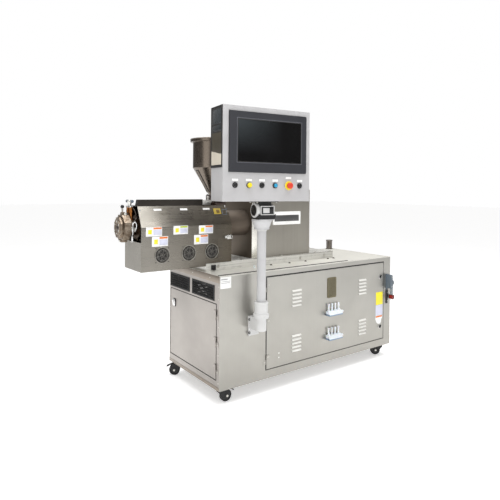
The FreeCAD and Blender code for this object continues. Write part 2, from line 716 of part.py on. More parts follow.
def barrel():
    """Barrel with a flange at each end, and the strut that stands it on the cover's end wall."""
    length = feed_x0 - barrel_end
    body = rod(barrel_end, axis_y, axis_z, X, barrel_r, length)
    front = rod(barrel_end, axis_y, axis_z, X, flange_r, flange_t)
    back = rod(feed_x0 - flange_t, axis_y, axis_z, X, flange_r, flange_t)
    lug = box(probe_x - 9, axis_y - strut_y - 11, axis_z - 26, probe_x + 9, axis_y - 20, axis_z + 6)
    strut = rod(probe_x, axis_y - strut_y, wall_top + 1, Z, strut_r, axis_z - 26 - wall_top - 1)
    studs = [rod(probe_x + dx, axis_y - strut_y - 20, axis_z - 12, Y, 5, 12) for dx in (-10, 10)]
    arm_y0, arm_y1 = axis_y - strut_y - 10, axis_y - 30
    arms = [box(probe_x + dx - 5, arm_y0, axis_z - 20, probe_x + dx + 5, arm_y1, axis_z - 4)
            for dx in (-10, 10)]
    body = join(body, front, back, lug, strut, *studs, *arms)
    return body.cut(rod(barrel_end, axis_y, axis_z, X, bore_r, length))


def heater_bands():
    """Heater bands clamped round the barrel, each with a screw lug and a terminal box."""
    bands = []
    for x in band_x:
        r = barrel_r + band_gap
        band = ring(x, axis_y, axis_z, X, r + band_t, r, band_l)
        lug = box(x + 10, axis_y - 14, axis_z - r - band_t - 14, x + band_l - 10, axis_y + 14, axis_z - r - 2)
        terminal = box(x + band_l / 2 - 22, axis_y - 20, axis_z + r + band_t - 4,
                       x + band_l / 2 + 22, axis_y + 20, axis_z + r + band_t + 24)
        bands.append(join(band, lug, terminal))
    return Part.makeCompound(bands)


def feed_section():
    """Water-cooled feed block with its port, and the round neck that bolts to the gearbox."""
    h = feed_side / 2
    block = box(feed_x0, axis_y - h, axis_z - h, feed_x1, axis_y + h, axis_z + h)
    neck = rod(feed_x1, axis_y, axis_z, X, neck_r, gear_x0 - feed_x1)
    seam_ring = rod(gear_x0 - seam_l, axis_y, axis_z, X, neck_r + neck_step, seam_l)
    foot = box(feed_x0 + feed_foot_in, axis_y - feed_foot_half, chan_top,
               feed_x1 - feed_foot_in, axis_y + feed_foot_half, axis_z - h)
    body = join(block, neck, seam_ring, foot)
    bore = rod(feed_x0, axis_y, axis_z, X, bore_r, gear_x0 - feed_x0)
    port = rod(hop_x, axis_y, axis_z, Z, port_r, h)
    return body.cut([bore, port])


def screw():
    """Extruder screw: tapered tip, root, and the plain journal in the neck."""
    x0, x1 = barrel_end + tip_in, gear_x0
    r = bore_r - screw_play
    root = join(rod(x0, axis_y, axis_z, X, root_r, x1 - x0), rod(feed_x1, axis_y, axis_z, X, r, x1 - feed_x1))
    tip = Part.makeCone(tip_r, root_r, tip_l, V(x0 - tip_l, axis_y, axis_z), X)
    return join(root, tip)


def barrel_cover():
    """Folded sheet cover round the barrel, open along the top where the cap sits."""
    shell = cover_prism(0.0).cut(cover_prism(cover_t))
    t, past = cover_t, 5.0
    foot = box(chan_x0 - 8, 0, cover_bottom - past, cover_x1 + past, cab_w, chan_top)
    top = box(cover_x0 - past, axis_y - slant_front + t, cover_slant_top - 1,
              cover_x1 + past, axis_y + slant_rear - t, cap_top)
    open_end = cover_prism(t)
    open_end.translate(V(-20.0, 0, 0))
    above_wall = box(cover_x0 - past, 0, wall_top, cover_x0 + t, cab_w, cap_top)
    room = neck_r + end_gap
    right = box(cover_x1 - 20, axis_y - room, chan_top, cover_x1 + past, axis_y + room, cap_top)
    holes = [rod(x, axis_y - cover_front - 1, fan_z, Y, fan_r, 10) for x in fan_x]
    return shell.cut([foot, top, open_end.common(above_wall), right] + holes)


def cover_prism(inset):
    """Section of the barrel cover, drawn in by an inset, along its length."""
    front, rear = cover_front - inset, cover_rear - inset
    low, fold = cover_bottom + inset, cover_fold
    top = cover_slant_top + (1 if inset else 0)
    points = [(-front, low), (rear, low), (rear, fold), (slant_rear - inset, top),
              (inset - slant_front, top), (-front, fold)]
    x0, x1 = cover_x0 + inset, cover_x1 - inset
    return extrude([(x0, axis_y + y, z) for y, z in points], V(x1 - x0, 0, 0))


def cover_cap():
    """Flat lid over the cover's top opening with an upright hood along its front edge."""
    t, s = cover_t, slant_front
    z0, z1 = cover_slant_top, cap_top
    outer = [(-s, z0), (slant_rear, z0), (slant_rear, z0 + t), (cap_foot_back - s, z0 + t),
             (cap_top_back - s, z1), (-s, z1)]
    hollow = [(t - s, z0 + t), (cap_foot_back - s - t, z0 + t),
              (cap_top_back - s - t, z1 - t), (t - s, z1 - t)]
    shell = extrude([(cover_x0, axis_y + y, z) for y, z in outer], V(cap_x1 - cover_x0, 0, 0))
    room = extrude([(cover_x0 + t, axis_y + y, z) for y, z in hollow], V(cap_x1 - cover_x0 - 2 * t, 0, 0))
    return shell.cut(room)


def cooling_fan(x):
    """Square fan frame with hub and struts behind one guard."""
    y0 = axis_y - cover_front + cover_t
    h, reach, half = fan_side / 2, fan_r + 2, fan_strut_w / 2
    frame = box(x - h, y0, fan_z - h, x + h, y0 + fan_depth, fan_z + h)
    frame = frame.cut(rod(x, y0, fan_z, Y, fan_r, fan_depth))
    hub = rod(x, y0 + fan_hub_in, fan_z, Y, fan_hub_r, fan_depth - fan_hub_in)
    y1 = y0 + fan_depth
    strut_a = box(x - reach, y1 - fan_strut_t, fan_z - half, x + reach, y1, fan_z + half)
    strut_b = box(x - half, y1 - fan_strut_t, fan_z - reach, x + half, y1, fan_z + reach)
    return join(frame, hub, strut_a, strut_b)


def cooling_fans():
    """The three barrel fans."""
    return Part.makeCompound([cooling_fan(x) for x in fan_x])


def fan_guard(x):
    """Round wire guard: rings and spokes in one plane."""
    y0, half = axis_y - cover_front - guard_t, guard_wire / 2
    rings = [ring(x, y0, fan_z, Y, r, r - guard_wire, guard_t) for r in guard_rings]
    hub = rod(x, y0, fan_z, Y, guard_hub_r, guard_t)
    reach = guard_rings[0] - 1
    spokes = []
    for i in range(3):
        bar = box(x - reach, y0, fan_z - half, x + reach, y0 + guard_t, fan_z + half)
        bar.rotate(V(x, y0, fan_z), Y, 45 + 60 * i)
        spokes.append(bar)
    return join(hub, *rings, *spokes)


def fan_guards():
    """The three fan guards."""
    return Part.makeCompound([fan_guard(x) for x in fan_x])


# ---- die end ----
def die_clamp():
    """Split octagonal clamp with ears, hinge pin below, and a swing bolt and a ball knob above."""
    x0, x1, length = clamp_x0, clamp_x1, clamp_x1 - clamp_x0
    rim = clamp_r / math.cos(math.radians(22.5))
    corners = [math.radians(22.5 + 45 * i) for i in range(8)]
    points = [(x0, axis_y + rim * math.cos(a) * clamp_squash, axis_z + rim * math.sin(a)) for a in corners]
    body = extrude(points, V(length, 0, 0))
    top, low = axis_z + clamp_r, axis_z - clamp_r
    ears = box(x0 + ear_in, axis_y - ear_half, top - 8, x1 - ear_in, axis_y + ear_half, top + ear_up)
    foot = box(x0 + ear_in, axis_y - foot_half, low - 14, x1 - ear_in, axis_y + foot_half, low + 8)
    hole = rod(x0, axis_y, axis_z, X, flange_r + clamp_gap, length)
    split = box(x0, axis_y - 2, axis_z + flange_r - 5, x1, axis_y + 2, top + ear_up + 1)
    body = join(body, ears, foot).cut([hole, split])
    mid, bolt_z = (x0 + x1) / 2, top + ear_up / 2
    over = ear_half + swing_head_l
    bolt = rod(mid, axis_y - over, bolt_z, Y, swing_bolt_r, 2 * over)
    ends = [rod(mid, y, bolt_z, Y, swing_head_r, swing_head_l) for y in (axis_y - over, axis_y + ear_half)]
    pin = rod(x0, axis_y, low - 3, X, 6, length)
    stem = rod(mid, axis_y + ball_y, bolt_z, Z, 5, 38)
    ball = Part.makeSphere(ball_r, V(mid, axis_y + ball_y, bolt_z + 44))
    return join(body, bolt, pin, stem, ball, *ends)


def die_head():
    """Die body that the clamp holds to the barrel, with a cross-shaped outlet."""
    face = barrel_end - flange_t
    flange = rod(face, axis_y, axis_z, X, flange_r, flange_t)
    nose = rod(die_x0, axis_y, axis_z, X, die_r, face - die_x0)
    body = join(flange, nose)
    a, b = cross_long / 2, cross_wide / 2
    bar_y = box(die_x0, axis_y - a, axis_z - b, die_x0 + cross_deep, axis_y + a, axis_z + b)
    bar_z = box(die_x0, axis_y - b, axis_z - a, die_x0 + cross_deep, axis_y + b, axis_z + a)
    bore = rod(die_x0, axis_y, axis_z, X, 9.0, barrel_end - die_x0)
    return body.cut([bar_y, bar_z, bore])


def melt_probes():
    """Two melt probes in the barrel and the cross head that joins their cables."""
    probes = []
    for side in (-1, 1):
        y = axis_y + side * probe_spread / 2
        seat = axis_z + math.sqrt(barrel_r ** 2 - (probe_spread / 2 + probe_r) ** 2)
        probes.append(rod(probe_x, y, seat + 6, Z, probe_r, probe_top - seat - 6))
        root = axis_z + barrel_r * 0.7
        probes.append(rod(probe_x, y, root, Z, probe_r * 0.6, seat + 6 - root))
    bridge = box(probe_x - 11, axis_y - 34, probe_top - 2, probe_x + 11, axis_y + 34, probe_top + 6)
    stem = Part.makeCone(10, 15, head_top - probe_top - 20, V(probe_x, axis_y, probe_top + 6), Z)
    bar = box(probe_x - 11, axis_y - 44, head_top - 14, probe_x + 11, axis_y + 44, head_top)
    bar = round_edges(bar, 6.0, lambda e: abs(e.Vertexes[0].Point.y - e.Vertexes[-1].Point.y) < 0.01
                      and abs(e.Vertexes[0].Point.z - e.Vertexes[-1].Point.z) < 0.01)
    return join(bridge, stem, bar, *probes).cut(rod(barrel_end, axis_y, axis_z, X, barrel_r + 0.3, 200))


# ---- hopper ----
def hopper():
    """Turned sheet hopper: cone, cylinder, rolled rim and the flange of its neck."""
    t = hop_t
    outer = [(hop_neck_r, hop_cone_z0), (hop_r, hop_cyl_z0), (hop_r, hop_rim_z0), (hop_rim_r, hop_rim_z0),
             (hop_rim_r, hop_top), (hop_r - t, hop_top)]
    lift = t / math.cos(math.atan2(hop_r - hop_neck_r, hop_cyl_z0 - hop_cone_z0))
    inside = [(hop_r - t, hop_cyl_z0), (hop_neck_r - lift, hop_cone_z0)]
    return turn(outer + inside, hop_x, axis_y)


def feed_throat():
    """Black throat: lower flange on the feed block, tube, and the gate's block under the hopper."""
    z0, z1 = axis_z + feed_side / 2, hop_cone_z0
    h = throat_flange / 2
    low = box(hop_x - h, axis_y - h, z0, hop_x + h, axis_y + h, z0 + throat_flange_t)
    tube_part = rod(hop_x, axis_y, z0, Z, port_r + throat_wall, z1 - z0)
    block = box(hop_x - h, axis_y - h, z1 - gate_body_h, hop_x + h, axis_y + h, z1)
    bore = rod(hop_x, axis_y, z0, Z, port_r, z1 - z0)
    x0, half = hop_x - h, blade_w / 2 + 0.3
    slot = box(x0, axis_y - half, blade_z, x0 + blade_in + 2, axis_y + half, blade_z + blade_t + 0.3)
    return join(low, tube_part, block).cut([bore, slot])


def throat_gate():
    """Drawn blade of the slide gate with its bright handle block and knob, at the throat's left."""
    x1 = hop_x - throat_flange / 2
    x0 = x1 - 2 - handle_l
    blade = box(x0, axis_y - blade_w / 2, blade_z, x1 + blade_in, axis_y + blade_w / 2, blade_z + blade_t)
    handle = box(x0, axis_y - handle_w / 2, handle_z0, x0 + handle_l, axis_y + handle_w / 2, handle_z1)
    stem = rod(handle_knob_x, axis_y, handle_z1, Z, 4, handle_knob_z - handle_z1)
    knob = Part.makeSphere(handle_knob_r, V(handle_knob_x, axis_y, handle_knob_z))
    return join(blade, handle, stem, knob)


def hopper_sight():
    """Sight strip with ribs down the hopper's cone."""
    slope = math.atan2(hop_r - hop_neck_r, hop_cyl_z0 - hop_cone_z0)
    cone = (hop_cyl_z0 - hop_cone_z0) / math.cos(slope)
    length, half = cone * sight_part, sight_width / 2
    strip = box(0, -half, 0, 4, half, length)
    steps = [length * k / sight_ribs for k in range(sight_ribs)]
    ribs = [box(4, -half, z, 6, half, z + 4) for z in steps]
    part = join(strip, *ribs)
    part.translate(V(-1.5, 0, (cone - length) / 2))
    part.rotate(V(0, 0, 0), Y, math.degrees(slope))
    part.translate(V(hop_neck_r, 0, hop_cone_z0))
    part.rotate(V(0, 0, 0), Z, sight_angle)
    part.translate(V(hop_x, axis_y, 0))
    g = sight_gap
    cone_side = [(hop_neck_r + g, hop_cone_z0), (hop_r + g, hop_cyl_z0)]
    inside = turn([(0, hop_cone_z0 - 5)] + cone_side + [(0, hop_cyl_z0)], hop_x, axis_y)
    return part.cut(inside)


# ---- support arm and control panel ----
def arm_bracket():
    """Wall plate and block on the cabinet's front, with the seat of the post."""
    x0, x1 = arm_x - bracket_w / 2, arm_x + bracket_w / 2
    z0, z1 = bracket_z0 + bracket_block_up, bracket_z1 + 2
    plate = box(x0, -bracket_plate, bracket_z0, x1, 0, bracket_z1)
    block = box(x0 + 5, arm_y, z0, x1 - 5, -bracket_plate, z1)
    nose = rod(arm_x, arm_y, z0, Z, bracket_w / 2 - 5, z1 - z0)
    collar = rod(arm_x, arm_y, z1, Z, collar_r, sleeve_z0 - z1)
    heights = (bracket_z0 + bracket_screw_in, bracket_z1 - bracket_screw_in)
    screws = [rod(x, -bracket_plate - bracket_screw_h, z, Y, bracket_screw_r, bracket_screw_h)
              for x in (x0 + 2.5, x1 - 2.5) for z in heights]
    return join(plate, block, nose, collar, *screws)


def arm_post():
    """Sleeve and tube of the post, and the spigot that the head turns on."""
    sleeve = rod(arm_x, arm_y, sleeve_z0, Z, sleeve_r, sleeve_h + sleeve_over)
    post = rod(arm_x, arm_y, sleeve_z0, Z, arm_r, arm_tube_top - sleeve_z0)
    spigot = rod(arm_x, arm_y, arm_tube_top, Z, spigot_r, spigot_h)
    return join(sleeve, post, spigot)


def in_panel_frame(solid):
    """Turn a solid drawn with the arm's axis as its origin into the panel's resting yaw."""
    solid.rotate(V(0, 0, 0), Z, panel_yaw)
    solid.translate(V(arm_x, arm_y, 0))
    return solid


def arm_head():
    """Flared adapter that swivels on the post, with the two cheeks of the tilt joint."""
    z0 = arm_tube_top + swivel_gap
    profile = [(0, z0), (head_foot_r, z0), (head_foot_r + 2, z0 + 14), (head_r, z0 + 50),
               (head_r, head_z1), (0, head_z1)]
    flare = turn(profile, 0, 0).cut(rod(0, 0, z0, Z, spigot_r + king_play, spigot_h + swivel_gap))
    cheeks = []
    for w0 in (tilt_w0, tilt_w1 - tilt_ear):
        cheek = join(rod(w0, 0, tilt_z, X, tilt_r, tilt_ear),
                     box(w0, -tilt_r, head_z1 - 4, w0 + tilt_ear, tilt_r, tilt_z))
        cheeks.append(cheek)
    pin = rod(tilt_w0, 0, tilt_z, X, tilt_pin_r, tilt_w1 - tilt_w0)
    base = box(tilt_w0, -tilt_r, head_z1 - 6, tilt_w1, tilt_r, head_z1 + 6)
    return in_panel_frame(join(flare, base, pin, *cheeks))


def panel_bracket():
    """Knuckle of the tilt joint and the plate that bolts to the panel's underside."""
    w0, w1 = tilt_w0 + tilt_ear + tilt_side_gap, tilt_w1 - tilt_ear - tilt_side_gap
    foot_z = panel_z0 - foot_t
    knuckle = join(rod(w0, 0, tilt_z, X, tilt_r - knuckle_step, w1 - w0),
                   box(w0, -neck_half, tilt_z, w1, neck_half, foot_z))
    plate = box(tilt_w0 - foot_out, -foot_w, foot_z, tilt_w1 + foot_out, foot_w, panel_z0)
    body = join(knuckle, plate).cut(rod(w0, 0, tilt_z, X, tilt_pin_r + king_play, w1 - w0))
    return in_panel_frame(body)


def panel_case():
    """Sheet enclosure of the control panel with bores, rings and blank legends for the operators."""
    case = box(panel_w0, panel_d0, panel_z0, panel_w1, panel_d1, panel_z1)
    case = round_edges(case, panel_round, upright)
    hole_r, stop_hole_r = button_r + button_play, stop_stem_r + button_play
    face, z = panel_d0 - button_ring_out, button_z + legend_up
    bores = [rod(w, panel_d0, button_z, Y, hole_r, bore_depth) for w in button_w]
    bores.append(rod(stop_w, panel_d0, button_z, Y, stop_hole_r, bore_depth))
    rings = [ring(w, face, button_z, Y, button_ring_r, hole_r, button_ring_out) for w in button_w]
    rings.append(ring(stop_w, face, button_z, Y, stop_r + stop_ring, stop_hole_r, button_ring_out))
    legends = [box(w - legend_w / 2, panel_d0 - legend_t, z, w + legend_w / 2, panel_d0, z + legend_h)
               for w in button_w]
    eyes = [rod(w, 0, panel_z1, Z, panel_eye_r, panel_eye_h) for w in (panel_w0 + panel_eye_in,
                                                                       panel_w1 - panel_eye_in)]
    return in_panel_frame(join(case.cut(bores), *rings, *legends, *eyes))


def panel_bezel():
    """Display frame on the panel's face."""
    y0, y1 = panel_d0 - bezel_out, panel_d0
    frame = box(bezel_w0, y0, bezel_z0, bezel_w1, y1, bezel_z1)
    frame = round_edges(frame, bezel_round, lambda e: abs(e.Vertexes[0].Point.y - e.Vertexes[-1].Point.y) > 1)
    frame = frame.cut(box(screen_w0, y0, screen_z0, screen_w1, y1, screen_z1))
    return in_panel_frame(frame)


def panel_screen():
    """Display glass inside the bezel."""
    y0 = panel_d0 - bezel_out + screen_back
    return in_panel_frame(box(screen_w0, y0, screen_z0, screen_w1, panel_d0, screen_z1))


def push_button(w):
    """Round button cap with its stem in the panel's bore."""
    face = panel_d0 - button_ring_out - button_out
    cap = rod(w, face, button_z, Y, button_r, button_out + button_ring_out + button_stem)
    return in_panel_frame(cap)


def stop_button():
    """Mushroom head on a stem."""
    face = panel_d0 - button_ring_out - stop_out
    head = rod(stop_w, face, button_z, Y, stop_r, stop_head_t)
    head = head.makeFillet(stop_round, [e for e in head.Edges if len(e.Vertexes) == 1
                                        and e.Vertexes[0].Point.y < face + 1])
    stem_l = stop_out - stop_head_t + button_ring_out + button_stem
    stem = rod(stop_w, face + stop_head_t, button_z, Y, stop_stem_r, stem_l)
    return in_panel_frame(join(head, stem))


# ---- disconnect, post, inside ----
def disconnect_body():
    """Body of the flange-mounted disconnect with its disc, on the front's right strip."""
    body = box(dis_x0, -dis_out, dis_z0, dis_x1, 0, dis_z1)
    body = round_edges(body, 6.0, lambda e: upright(e) and e.Vertexes[0].Point.y < -1)
    e = dis_back_edge
    back = box(dis_x0 - e, -dis_back_t, dis_z0 - e, dis_x1 + e, 0, dis_z1 + e)
    bar = box(dis_x0, -dis_bar_out, dis_bar_z0, dis_x0 + dis_bar_w, 0, dis_bar_z1)
    web = box(dis_x0, -dis_back_t, dis_bar_z1, dis_x0 + dis_bar_w, 0, dis_z0)
    disc = rod(dis_x1, dis_hub_y, dis_hub_z, X, dis_disc_r, dis_disc_t)
    disc = disc.common(box(dis_x1, -dis_out, dis_z0, dis_x1 + dis_disc_t, 0, dis_z1))
    pin = rod(dis_x1, dis_hub_y, dis_hub_z, X, dis_pin_r, dis_pin_l)
    return join(body, back, bar, web, disc, pin)


def disconnect_handle():
    """Lever with its hub and grip, turning about an axis along X."""
    x0, y, z = dis_x1 + dis_disc_t + dis_gap, dis_hub_y, dis_hub_z
    hub = rod(x0, y, z, X, dis_hub_r, dis_hub_t)
    arm = box(x0 + 1, y - dis_arm_w / 2, z - grip_top, x0 + 1 + dis_arm_t, y + dis_arm_w / 2, z)
    mid = x0 + 1 + dis_arm_t / 2
    grip = box(mid - grip_t / 2, y - grip_w / 2, z - grip_end, mid + grip_t / 2, y + grip_w / 2, z - grip_top)
    lever = join(hub, arm, grip)
    return lever.cut(rod(x0 - 1, y, z, X, dis_pin_r + king_play, dis_pin_l))


def chrome_post():
    """Short bright post with a cap near the deck's rear right corner."""
    stem_h = post_h - post_cap_h
    stem = rod(post_x, post_y, cab_z1, Z, post_r, stem_h)
    return join(stem, rod(post_x, post_y, cab_z1 + stem_h, Z, post_r + post_cap_step, post_cap_h))


def drive_motor():
    """Foot-mounted drive motor on the floor pan, with a pulley, a fan cowl and a terminal box."""
    z_floor = cab_z0 + tube + pan_t
    x, y, z = motor_x, axis_y + motor_y, z_floor + motor_r + motor_foot
    body = rod(x, y, z, X, motor_r, motor_l)
    cowl = rod(x + motor_l, y, z, X, motor_r - cowl_step, cowl_l)
    nose = rod(x - nose_l, y, z, X, motor_r - nose_step, nose_l)
    shaft = rod(x - nose_l - shaft_l, y, z, X, shaft_r, shaft_l)
    pulley = rod(x - pulley_out, y, z, X, pulley_r, pulley_l)
    feet = [box(x0, y - motor_r, z_floor, x0 + foot_l, y + motor_r, z - motor_r + foot_h)
            for x0 in (x + foot_in, x + motor_l - foot_in - foot_l)]
    terminal = box(x + 120, y - 60, z + motor_r - 14, x + 260, y + 60, z + motor_r + 60)
    return join(body, cowl, nose, shaft, pulley, terminal, *feet)


def control_plate():
    """Electrical mounting plate inside the rear wall with rows of modules."""
    y1 = cab_w - inner - 1.0
    z0, z1 = cab_z0 + tube + pan_t, deck_z0 - tube
    face = y1 - back_t
    plate = box(back_x0, face, z0, back_x1, y1, z1)
    rows = []
    for i, (depth, wide) in enumerate(module_rows):
        z, pitch = z0 + row_z0 + i * row_pitch, wide + module_gap
        count = int((back_x1 - back_x0 - 2 * row_in) // pitch)
        for k in range(count):
            x = back_x0 + row_in + k * pitch
            rows.append(box(x, face - depth, z, x + wide, face, z + module_h))
    return join(plate, *rows)


def build():
    """Every node by name."""
    parts = {
        "cabinet_frame": cabinet_frame(), "deck_plate": deck(), "front_skin": front_skin(),
        "end_skin": end_skin(), "rear_skins": rear_skins(), "heater_bands": heater_bands(),
        "floor_pan": floor_pan(), "vent_grilles": vent_grilles(), "front_door": front_door(),
        "end_door": end_door(), "end_latch": end_latch(), "mesh_plate": mesh_plate(),
        "flow_bank_upper": flow_bank(manifold_z[0]), "flow_bank_lower": flow_bank(manifold_z[1]),
        "base_channel": base_channel(), "gearbox_housing": gearbox(), "gearbox_plate": gearbox_plate(),
        "barrel": barrel(), "feed_section": feed_section(), "screw": screw(),
        "barrel_cover": barrel_cover(), "cover_cap": cover_cap(), "cooling_fans": cooling_fans(),
        "fan_guards": fan_guards(), "die_clamp": die_clamp(), "die_head": die_head(),
        "melt_probes": melt_probes(), "hopper": hopper(), "hopper_sight": hopper_sight(),
        "feed_throat": feed_throat(), "throat_gate": throat_gate(), "arm_bracket": arm_bracket(),
        "arm_post": arm_post(), "arm_head": arm_head(), "panel_bracket": panel_bracket(),
        "panel_case": panel_case(), "panel_bezel": panel_bezel(), "panel_screen": panel_screen(),
        "stop_button": stop_button(), "disconnect_body": disconnect_body(),
        "disconnect_handle": disconnect_handle(), "chrome_post": chrome_post(),
        "drive_motor": drive_motor(), "control_plate": control_plate(),
    }
    for name, (x, z) in zip(("front_latch_upper", "front_latch_lower"), front_latch_places()):
        parts[name] = front_latch(x, z)
    for number, w in enumerate(button_w, 1):
        parts["push_button_" + str(number)] = push_button(w)
    parts["caster_plates"] = Part.makeCompound([caster_plate(x, y) for x, y in caster_places().values()])
    for name, (x, y) in caster_places().items():
        parts["caster_fork_" + name] = caster_fork(x, y, caster_rest[name])
        parts["caster_wheel_" + name] = caster_wheel(x, y, caster_rest[name])
    return parts


parts = build()
whole = Part.makeCompound(list(parts.values())).BoundBox
shift = V(-(whole.XMin + whole.XMax) / 2, -(whole.YMin + whole.YMax) / 2, 0)
os.makedirs("parts", exist_ok=True)
for name, shape in parts.items():
    shape.translate(shift)
    shape.exportStep("parts/" + name + ".step")
print("shift", round(shift.x, 3), round(shift.y, 3), "size", [round(d, 1) for d in
      (whole.XLength, whole.YLength, whole.ZLength)], "nodes", len(parts))
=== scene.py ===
"""Looks of the castered plastic extruder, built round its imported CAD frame.

Everything is in metres in the frame's own axes: X along the cabinet, Y from its front face to its back, Z up
from the floor.  The deck plate's box gives the cabinet's left end and front face, and at() counts from those.
"""
import itertools
import math

import bmesh
import bpy
from mathutils import Matrix, Vector


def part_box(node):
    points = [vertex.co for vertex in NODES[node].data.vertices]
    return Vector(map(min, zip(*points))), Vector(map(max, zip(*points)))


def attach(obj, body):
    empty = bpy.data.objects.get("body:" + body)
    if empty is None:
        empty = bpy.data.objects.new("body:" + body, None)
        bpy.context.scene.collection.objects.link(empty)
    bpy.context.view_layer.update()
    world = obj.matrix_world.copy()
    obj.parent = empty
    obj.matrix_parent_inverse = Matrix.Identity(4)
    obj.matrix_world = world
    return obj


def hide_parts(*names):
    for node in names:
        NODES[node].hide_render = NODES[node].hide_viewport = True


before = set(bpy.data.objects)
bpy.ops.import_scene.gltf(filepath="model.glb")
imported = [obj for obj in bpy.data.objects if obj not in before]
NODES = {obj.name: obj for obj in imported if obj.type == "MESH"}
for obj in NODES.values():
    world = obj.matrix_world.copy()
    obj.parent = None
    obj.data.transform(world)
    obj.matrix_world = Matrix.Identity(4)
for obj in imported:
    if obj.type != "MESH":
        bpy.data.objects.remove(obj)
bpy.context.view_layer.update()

MM = 0.001
DECK_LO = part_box("deck_plate")[0]
LEFT, FRONT = DECK_LO.x, DECK_LO.y


def at(x, y, z):
    """Point given in millimetres from the cabinet's left end, front face and the floor."""
    return Vector((LEFT + x * MM, FRONT + y * MM, z * MM))


def rgb(r, g, b):
    """Linear colour of an sRGB triple of 0 to 255."""
    shares = [c / 255 for c in (r, g, b)]
    return tuple(((c + 0.055) / 1.055) ** 2.4 if c > 0.04 else c / 12.92 for c in shares) + (1.0,)


# ---- materials ----
class Shader:
    """A material's node tree with short calls for the nodes used here."""

    def __init__(self, name):
        self.material = bpy.data.materials.new(name)
        self.material.use_nodes = True
        self.tree = self.material.node_tree
        self.tree.nodes.clear()
        self.out = self.node("ShaderNodeOutputMaterial")
        self.bsdf = self.node("ShaderNodeBsdfPrincipled")
        self.link(self.bsdf.outputs["BSDF"], self.out.inputs["Surface"])
        self.place = self.node("ShaderNodeTexCoord").outputs["Object"]

    def node(self, kind, **values):
        made = self.tree.nodes.new(kind)
        for key, value in values.items():
            if hasattr(made, key):
                setattr(made, key, value)
            else:
                made.inputs[key.replace("_", " ").title()].default_value = value
        return made

    def link(self, a, b):
        self.tree.links.new(a, b)

    def set(self, socket, value):
        """Give a socket of the shader a constant or a linked value."""
        target = self.bsdf.inputs[socket]
        if isinstance(value, bpy.types.NodeSocket):
            self.link(value, target)
        else:
            target.default_value = value

    def stretched(self, sx, sy, sz):
        """Object coordinates scaled along each axis."""
        mapping = self.node("ShaderNodeMapping")
        mapping.inputs["Scale"].default_value = (sx, sy, sz)
        self.link(self.place, mapping.inputs["Vector"])
        return mapping.outputs["Vector"]

    def noise(self, vector, scale, detail=3.0, roughness=0.55, distortion=0.0):
        made = self.node("ShaderNodeTexNoise")
        self.link(vector, made.inputs["Vector"])
        made.inputs["Scale"].default_value = scale
        made.inputs["Detail"].default_value = detail
        made.inputs["Roughness"].default_value = roughness
        made.inputs["Distortion"].default_value = distortion
        return made.outputs["Fac"]

    def ramp(self, value, low, high, from_low=0.3, from_high=0.7):
        """Value mapped from one range to another."""
        made = self.node("ShaderNodeMapRange")
        self.link(value, made.inputs["Value"])
        for socket, number in zip(("From Min", "From Max", "To Min", "To Max"), (from_low, from_high, low, high)):
            made.inputs[socket].default_value = number
        return made.outputs["Result"]

    def mix(self, factor, a, b, blend="MIX"):
        """Colour between a and b; each may be a colour or a socket."""
        made = self.node("ShaderNodeMix", data_type="RGBA", blend_type=blend)
        for index, value in ((0, factor), (6, a), (7, b)):
            if isinstance(value, bpy.types.NodeSocket):
                self.link(value, made.inputs[index])
            else:
                made.inputs[index].default_value = value
        return made.outputs[2]

    def math(self, operation, a, b=0.0, c=0.0):
        made = self.node("ShaderNodeMath", operation=operation)
        for index, value in enumerate((a, b, c)):
            if isinstance(value, bpy.types.NodeSocket):
                self.link(value, made.inputs[index])
            else:
                made.inputs[index].default_value = value
        return made.outputs[0]

    def axis(self, name):
        """One object coordinate."""
        made = self.node("ShaderNodeSeparateXYZ")
        self.link(self.place, made.inputs[0])
        return made.outputs[name]

    def soft_edges(self, radius):
        """Normal rounded over a small radius, and how near an edge the point is."""
        bevel = self.node("ShaderNodeBevel", samples=4)
        bevel.inputs["Radius"].default_value = radius
        geometry = self.node("ShaderNodeNewGeometry")
        dot = self.node("ShaderNodeVectorMath", operation="DOT_PRODUCT")
        self.link(bevel.outputs["Normal"], dot.inputs[0])
        self.link(geometry.outputs["True Normal"], dot.inputs[1])
        return bevel.outputs["Normal"], self.ramp(dot.outputs["Value"], 1.0, 0.0, 0.80, 0.995)

    def bump(self, height, distance, normal=None, strength=1.0):
        made = self.node("ShaderNodeBump")
        made.inputs["Distance"].default_value = distance
        made.inputs["Strength"].default_value = strength
        self.link(height, made.inputs["Height"])
        if normal is not None:
            self.link(normal, made.inputs["Normal"])
        return made.outputs["Normal"]


def tint(color, factor):
    """Colour made lighter or darker."""
    return tuple(min(1.0, c * factor) for c in color[:3]) + (1.0,)


FINE, LONG = 260.0, 2.0               # noise scale across and along the grain
GRAIN = {"x": (LONG, FINE, FINE), "y": (FINE, LONG, FINE), "z": (FINE, FINE, LONG)}


